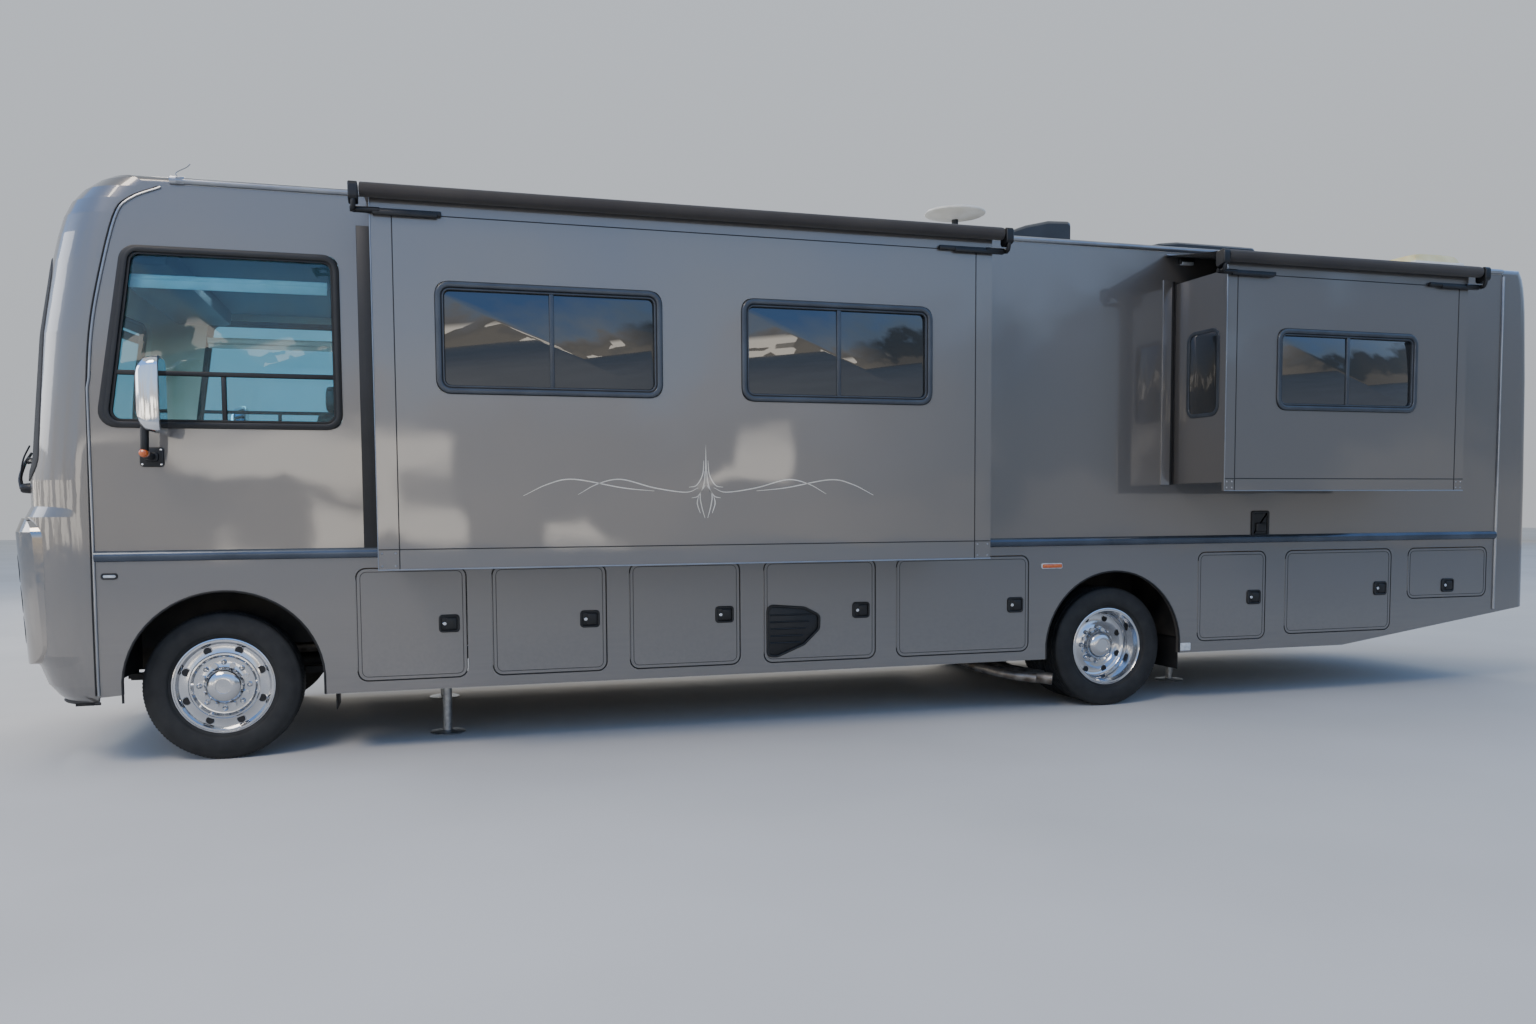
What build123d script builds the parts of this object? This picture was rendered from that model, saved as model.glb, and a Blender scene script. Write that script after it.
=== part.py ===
from build123d import *
import os

os.makedirs("parts", exist_ok=True)

# Motorhome with two slide-out rooms, in millimetres.
# While modelling, x runs forward from the front axle, y to the left and z up from the ground.
# At the end everything is set so that the origin is on the ground, below the middle of the whole coach.

# Running gear
wheelbase = 5791
tyre_d = 850
tyre_w = 245
rim_d = 546
kingpin_track = 1800
wheel_offset = 153
rear_outer_track = 2166
twin_gap = 30
axle_height = tyre_d / 2
rear_axle_x = -wheelbase
rail_gap = 864
rail_web = 10
rail_flange = 80
rail_low_z = 760
rail_depth = 240

# Coach body
body_width = 2590
wall_t = 40
skirt_bottom = 370
belt_low = 1154
belt_high = 1213
rail_low = 3206
roof_edge = 3246
roof_crown = 3312
roof_edge_r = 38
nose_x = 1050
tail_x = rear_axle_x - 3759
front_bow = 130
front_corner_r = 330
rear_corner_r = 90
rear_seam = rear_axle_x - 3409
front_seam = 606
bulge_reach = 80
kick_start = rear_axle_x - 1959
kick_end_height = 626
frame_front = 900
frame_rear = rear_seam + 100

# Floor and bays
floor_top = 1130
floor_t = 55
bay_floor = 430
bay_inner = 560
bay_sheet = 20
high_bay_floor = 700

# Slide-out rooms
slide_reach = 620
slide_stroke = 585
fascia_t = 25
fascia_lap = 42
slide_gap = 15
room_wall = 50
seat_gap = 0.3

# Doors
door_gap = 5
hinge_offset = door_gap / 2 - 0.3
door_r = 55

half = body_width / 2
inner_half = half - wall_t
inner_end = inner_half - 20
left, right = 1, -1


def block(x, y, z, mode=Mode.ADD):
    """Add a block that reaches from the first to the second value on each axis."""
    centre = [(a + b) / 2 for a, b in (x, y, z)]
    with Locations(tuple(centre)):
        Box(abs(x[1] - x[0]), abs(y[1] - y[0]), abs(z[1] - z[0]), mode=mode)


pieces = {}


def keep(name, part):
    """Name a finished piece."""
    part.label = name
    pieces[name] = part


# Level sections of the body: height, nose, how far the tail is drawn in
body_sections = [
    (250, 780, 0),
    (370, 905, 1),
    (410, 950, 2),
    (470, 1000, 2),
    (600, 1045, 4),
    (1600, 1048, 14),
    (2400, 967, 34),
    (2800, 895, 53),
    (2940, 862, 60),
    (3040, 832, 70),
    (3120, 792, 82),
    (3185, 735, 100),
    (3235, 665, 125),
    (3275, 575, 155),
    (3305, 465, 200),
    (3330, 320, 260),
]


def level_section(height, nose, tail, side, corner):
    """One level outline: straight sides, round corners and a bowed front."""
    with BuildSketch(Plane.XY.offset(height)) as outline:
        with BuildLine():
            Polyline((nose - front_bow, side), (tail, side), (tail, -side), (nose - front_bow, -side))
            ThreePointArc((nose - front_bow, -side), (nose, 0), (nose - front_bow, side))
        make_face()
        fillet(outline.vertices().sort_by(Axis.X)[-2:], corner)
        fillet(outline.vertices().sort_by(Axis.X)[:2], rear_corner_r)
    return outline.sketch


def body_form(inset):
    """The whole coach as a closed form, its skin set in by a distance."""
    side = half - inset
    with BuildPart() as form:
        sections = []
        corner = front_corner_r - inset / 2
        for height, nose, drawn_in in body_sections:
            tail = tail_x + drawn_in + inset
            sections.append(level_section(height - inset, nose - inset, tail, side, corner))
        loft(sections, ruled=True)
        with BuildSketch(Plane.YZ.offset(tail_x - 200)) as front_view:
            with BuildLine():
                Polyline((-side, roof_edge - inset), (-side, 0), (side, 0), (side, roof_edge - inset))
                ThreePointArc((side, roof_edge - inset), (0, roof_crown - inset),
                              (-side, roof_edge - inset))
            make_face()
            if inset < roof_edge_r:
                fillet(front_view.vertices().sort_by(Axis.Y)[-2:], roof_edge_r - inset)
        extrude(amount=2 * wheelbase, mode=Mode.INTERSECT)
    return form.part


outer_form = body_form(0)
inner_form = body_form(wall_t)

# The lower front stands a little proud: height, how far it is ahead of the nose
bulge_levels = [(560, -20), (640, 28), (1400, 30), (1480, -12)]
# The lamp bezels stand further out
bezel_levels = [(520, 40), (1320, bulge_reach), (1440, 30)]
bezel_inner, bezel_outer = half - 505, half - 60
bezel_low, bezel_high = 590, 1395
bezel_r = 110


def nose_form(levels):
    """The lower front as a closed form."""
    side = half - 2
    tail_cut = nose_x - 800
    with BuildPart() as form:
        rings = []
        for height, ahead in levels:
            with BuildSketch(Plane.XY.offset(height)) as ring:
                with BuildLine():
                    x = nose_x + ahead - front_bow
                    Polyline((x, side), (tail_cut, side), (tail_cut, -side), (x, -side))
                    ThreePointArc((x, -side), (x + front_bow, 0), (x, side))
                make_face()
                fillet(ring.vertices().sort_by(Axis.X)[-2:], front_corner_r)
            rings.append(ring.sketch)
        loft(rings, ruled=True)
    return form.part


with BuildPart() as nose_bulge:
    add(nose_form(bulge_levels))
    add(inner_form, mode=Mode.SUBTRACT)

with BuildPart() as underside:
    with BuildSketch(Plane.XZ) as below:
        with BuildLine():
            Polyline((1400, 0), (1400, skirt_bottom), (front_seam + 8, skirt_bottom),
                     (front_seam, skirt_bottom + 38), (480, skirt_bottom + 48), (-520, skirt_bottom),
                     (kick_start, skirt_bottom), (tail_x - 60, kick_end_height), (tail_x - 60, 0), (1400, 0))
        make_face()
    extrude(amount=half + 100, both=True)

with BuildPart() as shell:
    add(outer_form)
    add(inner_form, mode=Mode.SUBTRACT)
    add(nose_bulge.part)
    add(underside.part, mode=Mode.SUBTRACT)

# The front cap meets the side walls on a line that sweeps back over the roof
with BuildPart() as front_zone:
    with BuildSketch(Plane.XZ) as ahead_of_seam:
        with BuildLine():
            Line((1500, 200), (618, 200))
            Line((618, 200), (607, 2110))
            ThreePointArc((607, 2110), (541, 2640), (448, 3013))
            ThreePointArc((448, 3013), (369, 3120), (220, 3190))
            Polyline((220, 3190), (143, rail_low), (143, 3500), (1500, 3500), (1500, 200))
        make_face()
    extrude(amount=half + 100, both=True)

# Windshield opening, seen from the front: half width, height
windshield_foot = (half - 145, 1640)
windshield_head = (half - 205, 2790)


def windshield_outline(inset):
    """A block through the front with the windshield's outline."""
    with BuildPart() as through:
        with BuildSketch(Plane.YZ.offset(350)) as view:
            with BuildLine():
                foot, low = windshield_foot[0] - inset, windshield_foot[1] + inset
                head, high = windshield_head[0] - inset, windshield_head[1] - inset
                Polyline((-foot, low), (foot, low), (head, high), (-head, high), (-foot, low))
            make_face()
            fillet(view.vertices(), 90)
        extrude(amount=1000)
    return through.part


headlamp_y = half - 295
lamp_rows = (1115, 945, 775)
lamp_r = 66
lamp_front = 1005
grille_half = 700
grille_low = 640
grille_high = 1120

with BuildPart() as front_cap:
    add(shell.part)
    add(front_zone.part, mode=Mode.INTERSECT)
    add(windshield_outline(0), mode=Mode.SUBTRACT)
    block((900, 1400), (-grille_half, grille_half), (grille_low, grille_high), Mode.SUBTRACT)
    for side in (left, right):
        for z in lamp_rows:
            with Locations(Location((nose_x, side * headlamp_y, z), (0, 90, 0))):
                Cylinder(lamp_r, 500, mode=Mode.SUBTRACT)
keep("front_cap", front_cap.part)

with BuildPart() as bezels:
    add(nose_form(bezel_levels))
    with BuildSketch(Plane.YZ.offset(nose_x - 250)) as surrounds:
        for side in (left, right):
            with Locations((side * (bezel_inner + bezel_outer) / 2, (bezel_low + bezel_high) / 2)):
                RectangleRounded(bezel_outer - bezel_inner, bezel_high - bezel_low, bezel_r)
            for z in lamp_rows:
                with Locations((side * headlamp_y, z)):
                    Circle(lamp_r, mode=Mode.SUBTRACT)
    extrude(amount=500, mode=Mode.INTERSECT)
    add(outer_form, mode=Mode.SUBTRACT)
    add(nose_bulge.part, mode=Mode.SUBTRACT)

with BuildPart() as windshield:
    add(body_form(10))
    add(body_form(18), mode=Mode.SUBTRACT)
    add(windshield_outline(0), mode=Mode.INTERSECT)
    block((0, 2000), (-6, 6), (1500, 3000), Mode.SUBTRACT)
keep("windshield", windshield.part)

lamp_depth = 90
# Rear lamps: foot, head, how far inside the tail
rear_lamps = [(900, 1120, -12), (2900, 3000, 42)]
rear_lamp_inner, rear_lamp_outer = half - 245, half - 125
grille_bars = 5
with BuildPart() as grille:
    depth = (930, 1085)
    block((930, 940), (-grille_half, grille_half), (grille_low, grille_high))
    pitch = (grille_high - grille_low) / grille_bars
    for row in range(grille_bars + 1):
        z = grille_low + row * pitch
        low = max(z - 9, grille_low)
        high = min(z + 9, grille_high)
        block(depth, (-grille_half, grille_half), (low, high))
    for side in (left, 0, right):
        y = side * (grille_half - 10)
        block(depth, (y - 10, y + 10), (grille_low, grille_high))
    add(bezels.part)
keep("grille", grille.part)

with BuildPart() as lamps:
    for side in (left, right):
        for z in lamp_rows:
            with Locations(Location((lamp_front, side * headlamp_y, z), (0, 90, 0))):
                Cylinder(lamp_r - 0.3, lamp_depth, align=(Align.CENTER, Align.CENTER, Align.MAX))
        for low, high, drawn_in in rear_lamps:
            x = tail_x + drawn_in
            block((x, x + 70), (side * rear_lamp_inner, side * rear_lamp_outer), (low, high))
keep("lamps", lamps.part)

with BuildPart() as rear_cap:
    add(shell.part)
    block((tail_x - 150, rear_seam), (-half - 50, half + 50), (0, 3500), Mode.INTERSECT)
    add(lamps.part, mode=Mode.SUBTRACT)
keep("rear_cap", rear_cap.part)

with BuildPart() as roof:
    add(shell.part)
    block((rear_seam, 1300), (-half - 50, half + 50), (rail_low, 3500), Mode.INTERSECT)
    add(front_zone.part, mode=Mode.SUBTRACT)
keep("roof", roof.part)

# Cab windows, drawn on the side of the coach: x, z
cab_window = [(540, 1890), (-688, 1890), (-688, 2866), (400, 2866)]
cab_window_r = 60
frame_w = 28
frame_proud = 8
glass_t = 6
# Other windows of the right wall: rear edge, front edge, sill, head
right_windows = [(-4400, -3200, 2060, 2630), (rear_axle_x - 1979, rear_axle_x - 759, 2060, 2600)]


def side_outline(points, radius, inset, y_low, y_high):
    """A block through the side wall with a window's outline."""
    with BuildPart() as through:
        with BuildSketch(Plane.XZ.offset(-y_low)) as view:
            with BuildLine():
                Polyline(*points, points[0])
            make_face()
            offset(amount=-inset, kind=Kind.INTERSECTION)
            fillet(view.vertices(), max(radius - inset, 5))
        extrude(amount=-(y_high - y_low))
    return through.part


def window(points, radius, skin, side):
    """A framed pane: its frame fills the opening, from the wall's inner face to a lip outside."""
    y_low, y_high = skin - wall_t, skin + frame_proud
    xs = [x for x, z in points]
    zs = [z for x, z in points]
    middle = (min(xs) + max(xs)) / 2
    with BuildPart() as pane:
        add(side_outline(points, radius, 0, y_low, y_high))
        add(side_outline(points, radius, frame_w, y_low - 1, y_high + 1), mode=Mode.SUBTRACT)
        add(side_outline(points, radius, frame_w - 2, skin - 16, skin - 16 + glass_t))
        block((middle - 14, middle + 14), (skin - 22, skin), (min(zs) + frame_w / 2, max(zs) - frame_w / 2))
    if side == right:
        return mirror(pane.part, about=Plane.XZ)
    return pane.part


def rectangle(rear, front, low, high):
    """The corners of an upright window."""
    return [(front, low), (rear, low), (rear, high), (front, high)]


with BuildPart() as side_windows:
    add(window(cab_window, cab_window_r, half, left))
    add(window(cab_window, cab_window_r, half, right))
    for edges in right_windows:
        add(window(rectangle(*edges), cab_window_r, half, right))
keep("side_windows", side_windows.part)

# Slide rooms: name, rear and front edge of the fascia, its foot and head, height of what it slides on
rooms = {
    "main_slide": (-4476, -888, 1110, 3075, floor_top),
    "bedroom_slide": (rear_axle_x - 2389, rear_axle_x - 389, 1525, 3040, 1582),
}
# Windows of each slide: rear edge, front edge, sill, head
room_windows = {
    "main_slide": [(-2427, -1205, 2048, 2640), (-4079, -2890, 2042, 2626)],
    "bedroom_slide": [(rear_axle_x - 1955, rear_axle_x - 789, 2062, 2600)],
}
fascia_face = half + slide_reach


def wall_opening(name):
    """The gap in the left wall that a slide room fills."""
    rear, front, low, high, seat = rooms[name]
    foot = seat if seat > floor_top else low + 8
    return (rear + fascia_lap, front - fascia_lap), (foot, high - fascia_lap)


entry_rear, entry_front = -2650, -1950
entry_low, entry_high = 600, 2560

# Bay doors: rear edge, front edge, foot, head
left_bays = [
    (-1353, -739, 436, 1090),
    (-2184, -1505, 436, 1090),
    (-3035, -2332, 436, 1090),
    (-3960, -3197, 436, 1090),
    (rear_axle_x + 701, -4114, 436, 1090),
    (rear_axle_x - 1251, rear_axle_x - 671, 450, 1090),
    (rear_axle_x - 2400, rear_axle_x - 1429, 475, 1090),
    (rear_axle_x - 3333, rear_axle_x - 2563, 706, 1090),
]
right_bays = [
    (-4000, -3000, 436, 1090),
    (rear_axle_x + 701, -4190, 436, 1090),
    (rear_axle_x - 2400, rear_axle_x - 1429, 475, 1090),
]

# Wheel arches in the skirts: rear edge, front edge, crown
arches = [(-557, 487, 980), (rear_axle_x - 521, rear_axle_x + 559, 970)]


def arch_cut(rear, front, crown):
    """The flattened round opening above a wheel."""
    shoulder = crown - 330
    with BuildSketch(Plane.XZ) as shape:
        with BuildLine():
            Polyline((rear, 0), (rear, shoulder - 160))
            Line((rear, 0), (front, 0))
            Line((front, 0), (front, shoulder - 160))
            ThreePointArc((rear, shoulder - 160), ((rear + front) / 2, crown), (front, shoulder - 160))
        make_face()
    extrude(shape.sketch, amount=half + 100, both=True, mode=Mode.SUBTRACT)


with BuildPart() as left_wall:
    add(shell.part)
    block((rear_seam, 1300), (0, half + 50), (belt_low, rail_low), Mode.INTERSECT)
    add(front_zone.part, mode=Mode.SUBTRACT)
    add(side_outline(cab_window, cab_window_r, 0, half - 100, half + 100), mode=Mode.SUBTRACT)
    for name in rooms:
        gap_x, gap_z = wall_opening(name)
        block(gap_x, (half - 100, half + 100), gap_z, Mode.SUBTRACT)
keep("left_wall", left_wall.part)

with BuildPart() as right_wall:
    add(shell.part)
    block((rear_seam, 1300), (-half - 50, 0), (belt_low, rail_low), Mode.INTERSECT)
    add(front_zone.part, mode=Mode.SUBTRACT)
    add(mirror(side_outline(cab_window, cab_window_r, 0, half - 100, half + 100), about=Plane.XZ),
        mode=Mode.SUBTRACT)
    for edges in right_windows:
        add(mirror(side_outline(rectangle(*edges), cab_window_r, 0, half - 100, half + 100), about=Plane.XZ),
            mode=Mode.SUBTRACT)
    block((entry_rear, entry_front), (-half - 100, 100 - half), (entry_low, entry_high), Mode.SUBTRACT)
keep("right_wall", right_wall.part)


def skirt(side, bays):
    """A lower side panel with its bay doors' openings and its wheel arches."""
    with BuildPart() as panel:
        add(shell.part)
        low_y, high_y = sorted((0, side * (half + 50)))
        block((rear_seam, 1300), (low_y, high_y), (0, belt_low), Mode.INTERSECT)
        add(front_zone.part, mode=Mode.SUBTRACT)
        for rear, front, low, high in bays:
            corners = rectangle(rear - door_gap, front + door_gap, low - door_gap, high + door_gap)
            opening = side_outline(corners, door_r + door_gap, 0, half - 100, half + 100)
            if side == right:
                opening = mirror(opening, about=Plane.XZ)
            add(opening, mode=Mode.SUBTRACT)
        for rear, front, crown in arches:
            arch_cut(rear, front, crown)
        if side == left:
            gap_x, gap_z = wall_opening("main_slide")
            block(gap_x, (half - 100, half + 100), gap_z, Mode.SUBTRACT)
        else:
            block((entry_rear, entry_front), (-half - 100, 100 - half), (entry_low, entry_high),
                  Mode.SUBTRACT)
    return panel.part


def hinge_pin(front, side, low, high):
    """The barrel that a side door turns on, in the gap at its front edge."""
    with Locations((front + hinge_offset, side * half, low)):
        Cylinder(door_gap / 2, high - low, align=(Align.CENTER, Align.CENTER, Align.MIN))


keep("left_skirt", skirt(left, left_bays))
keep("right_skirt", skirt(right, right_bays))

for side, name, bays in ((left, "left", left_bays), (right, "right", right_bays)):
    for number, (rear, front, low, high) in enumerate(bays, 1):
        with BuildPart() as bay_door:
            block((rear, front), (side * inner_half, side * half), (low, high))
            fillet(bay_door.edges().filter_by(Axis.Y), door_r)
            hinge_pin(front, side, low + door_r + 5, high - door_r - 5)
        keep(f"{name}_bay_door_{number}", bay_door.part)

entry_glass = (2020, 2440)
with BuildPart() as entry_door:
    block((entry_rear + door_gap, entry_front - door_gap), (-half, -inner_half),
          (entry_low + door_gap, entry_high - door_gap))
    fillet(entry_door.edges().filter_by(Axis.Y), 50)
    block((entry_rear + 130, entry_front - 130), (-half - 1, -half + 12), entry_glass, Mode.SUBTRACT)
    block((entry_rear + 130, entry_front - 130), (-inner_half - 12, -inner_half + 1), entry_glass,
          Mode.SUBTRACT)
    block((entry_rear + 30, entry_rear + 60), (-half - 45, -half), (1350, 1700))
    hinge_pin(entry_front - door_gap, right, entry_low + 80, entry_high - 80)
keep("entry_door", entry_door.part)

# Belt mouldings run along both sides and stop at the main slide and the entry door
belt_proud = 22
belt_edge = 7
belt_end = 20
with BuildPart() as belt_mouldings:
    runs = [(left, rooms["main_slide"][1] + belt_end, front_seam - 6),
            (left, rear_seam, rooms["main_slide"][0] - belt_end),
            (right, entry_front + belt_end, front_seam - 6),
            (right, rear_seam, entry_rear - belt_end)]
    for side, rear, front in runs:
        with BuildSketch(Plane.YZ.offset(rear)) as profile:
            with BuildLine():
                Polyline((side * (half + belt_edge), belt_high), (side * half, belt_high),
                         (side * half, belt_low), (side * (half + belt_edge), belt_low))
                ThreePointArc((side * (half + belt_edge), belt_low),
                              (side * (half + belt_proud), (belt_low + belt_high) / 2),
                              (side * (half + belt_edge), belt_high))
            make_face()
        extrude(profile.sketch, amount=front - rear)
keep("belt_mouldings", belt_mouldings.part)

# Cabin floor with the step well at the entry door
with BuildPart() as cabin_floor:
    block((rear_seam, 560), (-inner_half, inner_half), (floor_top - floor_t, floor_top))
    block((entry_rear, entry_front), (-inner_half - 1, -700), (0, floor_top + 1), Mode.SUBTRACT)
    block((entry_rear - 20, entry_front + 20), (-inner_half, -680), (entry_low - 20, entry_low))
    block((entry_rear - 20, entry_front + 20), (-700, -680), (entry_low, floor_top))
    for x in (entry_rear - 20, entry_front):
        block((x, x + 20), (-inner_half, -680), (entry_low, floor_top - floor_t))
    block((entry_rear, entry_front), (-980, -700), (entry_low, (entry_low + floor_top) / 2))
keep("cabin_floor", cabin_floor.part)

# Storage bays: each side has floors, an inner wall and partitions
jack_pocket = (-1430, -1180)
left_splits = [-680, jack_pocket[1], jack_pocket[0], -2258, -3116, -4037, rear_axle_x + 621]
right_splits = [-2760, -4095, rear_axle_x + 621]
rear_splits = [rear_axle_x - 589, rear_axle_x - 1340, rear_axle_x - 2481]
bays_end = rear_seam + 20
bay_ceiling = rail_low_z + rail_depth
with BuildPart() as storage_bays:
    for side, splits in ((left, left_splits), (right, right_splits)):
        outer = side * inner_half
        inner = side * bay_inner
        web = side * (bay_inner - bay_sheet)
        block((splits[-1], splits[0]), (inner, outer), (bay_floor - bay_sheet, bay_floor))
        block((splits[-1], splits[0]), (web, inner), (bay_floor - bay_sheet, bay_ceiling))
        block(jack_pocket, (web, outer), (bay_floor - bay_sheet, bay_ceiling), Mode.SUBTRACT)
        for x in splits:
            x = min(max(x, splits[-1] + bay_sheet / 2), splits[0] - bay_sheet / 2)
            block((x - bay_sheet / 2, x + bay_sheet / 2), (inner, outer), (bay_floor, bay_ceiling))
        rear_low = bay_floor + 30
        block((rear_splits[2], rear_splits[0]), (inner, outer), (rear_low - bay_sheet, rear_low))
        block((bays_end, rear_splits[2]), (inner, outer), (high_bay_floor - bay_sheet, high_bay_floor))
        block((bays_end, rear_splits[0]), (web, inner), (high_bay_floor - bay_sheet, bay_ceiling))
        block((rear_splits[2], rear_splits[0]), (web, inner), (rear_low - bay_sheet, high_bay_floor))
        for x, low in ((rear_splits[0] - 10, rear_low), (rear_splits[1], rear_low),
                       (rear_splits[2], rear_low), (bays_end + 10, high_bay_floor)):
            block((x - bay_sheet / 2, x + bay_sheet / 2), (inner, outer), (low, bay_ceiling))
keep("storage_bays", storage_bays.part)

# Sheet wells over the wheels
well_sheet = 6
well_top = 1000
well_gap = 35
twin_inner_face = rear_outer_track / 2 - 1.5 * tyre_w - twin_gap
# rear edge, front edge, inner wall, foot of the inner wall
wells = [(-600, 540, kingpin_track / 2 - 310, 600),
         (rear_axle_x - 549, rear_axle_x + 591, twin_inner_face - well_gap, 700)]
with BuildPart() as wheel_wells:
    for side in (left, right):
        for rear, front, inner, foot in wells:
            outer = side * inner_half
            inside = side * inner
            block((rear, front), (inside, outer), (well_top - well_sheet, well_top))
            block((rear, rear + well_sheet), (inside, outer), (480, well_top))
            block((front - well_sheet, front), (inside, outer), (480, well_top))
            block((rear, front), (inside, side * (inner + well_sheet)), (foot, well_top))
keep("wheel_wells", wheel_wells.part)

# Chassis: two channel rails with cross members
rail_y = rail_gap / 2
rail_high_z = rail_low_z + rail_depth
cross_members = [850, 650, -700, -2000, -3300, rear_axle_x + 1191, rear_axle_x - 1109,
                 rear_axle_x - 2309, frame_rear + 50]
with BuildPart() as chassis_frame:
    for side in (left, right):
        web = (side * rail_y, side * (rail_y - rail_web))
        flange = (side * rail_y, side * (rail_y - rail_flange))
        block((frame_rear, frame_front), web, (rail_low_z, rail_high_z))
        block((frame_rear, frame_front), flange, (rail_low_z, rail_low_z + rail_web))
        block((frame_rear, frame_front), flange, (rail_high_z - rail_web, rail_high_z))
    for x in cross_members:
        block((x - 40, x + 40), (-rail_y, rail_y), (rail_high_z - 90, rail_high_z - rail_web))
keep("chassis_frame", chassis_frame.part)

# What the frame carries: outriggers below the floor, jack cylinders and the tow receiver
outriggers = [-1000, -1700, -3300, rear_axle_x + 1191, rear_axle_x - 1009, rear_axle_x - 2609]
jack_r = 45
jack_rod_r = 30
bracket_half = 45
bracket_z = (rail_low_z + 15, rail_low_z + 40)
# x, y of each jack
jacks = {
    "front": [(-1240, 725), (-1240, -725)],
    "rear": [(rear_axle_x - 1159, 300), (rear_axle_x - 1159, -300)],
}
jack_low = 320
jack_high = 800
pin_r = 8
receiver_bore = 51.5
receiver_wall = 6.5
receiver_x = tail_x + 10
receiver_z = 560
receiver_depth = 300
receiver_beam = (receiver_x + 200, receiver_x + 260)
with BuildPart() as frame_fittings:
    for x in outriggers:
        block((x - 30, x + 30), (-inner_half, inner_half), (rail_high_z, floor_top - floor_t))
    for spots in jacks.values():
        for x, y in spots:
            with Locations((x, y, jack_low)):
                Cylinder(jack_r, jack_high - jack_low, align=(Align.CENTER, Align.CENTER, Align.MIN))
            seat = rail_y if abs(y) > rail_y else rail_y - rail_web
            block((x - bracket_half, x + bracket_half), (y, seat if y > 0 else -seat), bracket_z)
            with Locations((x, y, jack_low)):
                Cylinder(jack_rod_r + 0.3, 2 * (jack_high - jack_low) - 60, mode=Mode.SUBTRACT)
    half_tube = receiver_bore / 2 + receiver_wall
    tube_z = (receiver_z - half_tube, receiver_z + half_tube)
    block((receiver_x, receiver_x + receiver_depth), (-half_tube, half_tube), tube_z)
    block((receiver_x - 1, receiver_x + receiver_depth + 1), (-receiver_bore / 2, receiver_bore / 2),
          (receiver_z - receiver_bore / 2, receiver_z + receiver_bore / 2), Mode.SUBTRACT)
    for side in (left, right):
        block(receiver_beam, (side * rail_y, side * half_tube), tube_z)
        block((receiver_beam[0], frame_rear), (side * rail_y, side * (rail_y - rail_web)),
              (tube_z[0], rail_high_z))
    with Locations(Location((receiver_x + 60, 0, receiver_z), (90, 0, 0))):
        Cylinder(pin_r, 200, mode=Mode.SUBTRACT)
keep("frame_fittings", frame_fittings.part)

for pair, spots in jacks.items():
    with BuildPart() as legs:
        for x, y in spots:
            with Locations((x, y, 0)):
                Cylinder(110, 14, align=(Align.CENTER, Align.CENTER, Align.MIN))
            with Locations((x, y, 14)):
                Cylinder(jack_rod_r, jack_low + 60 - 14, align=(Align.CENTER, Align.CENTER, Align.MIN))
    keep(f"{pair}_jack_legs", legs.part)

engine_rear = -100
engine_size = (800, 560, 480)
with BuildPart() as engine_block:
    block((engine_rear, engine_rear + engine_size[0]), (-engine_size[1] / 2, engine_size[1] / 2),
          (rail_high_z - 90 - engine_size[2], rail_high_z - 90))
keep("engine_block", engine_block.part)

# Axles with their leaf springs
spring_y = 480
kingpin_y = kingpin_track / 2
kingpin_r = 20
eye_half = 45
eye_r = 42
with BuildPart() as front_axle:
    block((-45, 45), (-kingpin_y + 95, kingpin_y - 95), (axle_height - 110, axle_height - 30))
    for side in (left, right):
        block((-38, 38), (side * (kingpin_y - 95), side * kingpin_y),
              (axle_height - eye_half, axle_height + eye_half))
        with Locations((0, side * kingpin_y, axle_height)):
            Cylinder(eye_r, 2 * eye_half)
            Cylinder(kingpin_r + 0.3, 400, mode=Mode.SUBTRACT)
        block((-620, 620), (side * (spring_y - 35), side * (spring_y + 35)),
              (axle_height - 30, axle_height + 10))
        block((-300, 300), (side * (spring_y - 35), side * (spring_y + 35)),
              (axle_height + 10, axle_height + 40))
        for x in (-620, 620):
            block((x - 30, x + 30), (side * (spring_y - 35), side * (rail_y)),
                  (axle_height - 30, rail_low_z + 60))
keep("front_axle", front_axle.part)

axle_tube_half = rear_outer_track / 2 - 160
axle_stub = 130
axle_stub_r = 45
with BuildPart() as rear_axle:
    with Locations(Location((rear_axle_x, 0, axle_height), (90, 0, 0))):
        Cylinder(60, 2 * axle_tube_half)
        Cylinder(axle_stub_r, 2 * (axle_tube_half + axle_stub))
        Cylinder(210, 260)
    for side in (left, right):
        block((rear_axle_x - 700, rear_axle_x + 700), (side * (spring_y - 35), side * (spring_y + 35)),
              (axle_height + 50, axle_height + 110))
        for x in (rear_axle_x - 700, rear_axle_x + 700):
            block((x - 30, x + 30), (side * (spring_y - 35), side * rail_y),
                  (axle_height + 50, rail_low_z + 60))
    with Locations(Location((rear_axle_x, 0, axle_height), (0, 90, 0))):
        Cylinder(45, wheelbase + engine_rear, align=(Align.CENTER, Align.CENTER, Align.MIN))
keep("rear_axle", rear_axle.part)

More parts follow.
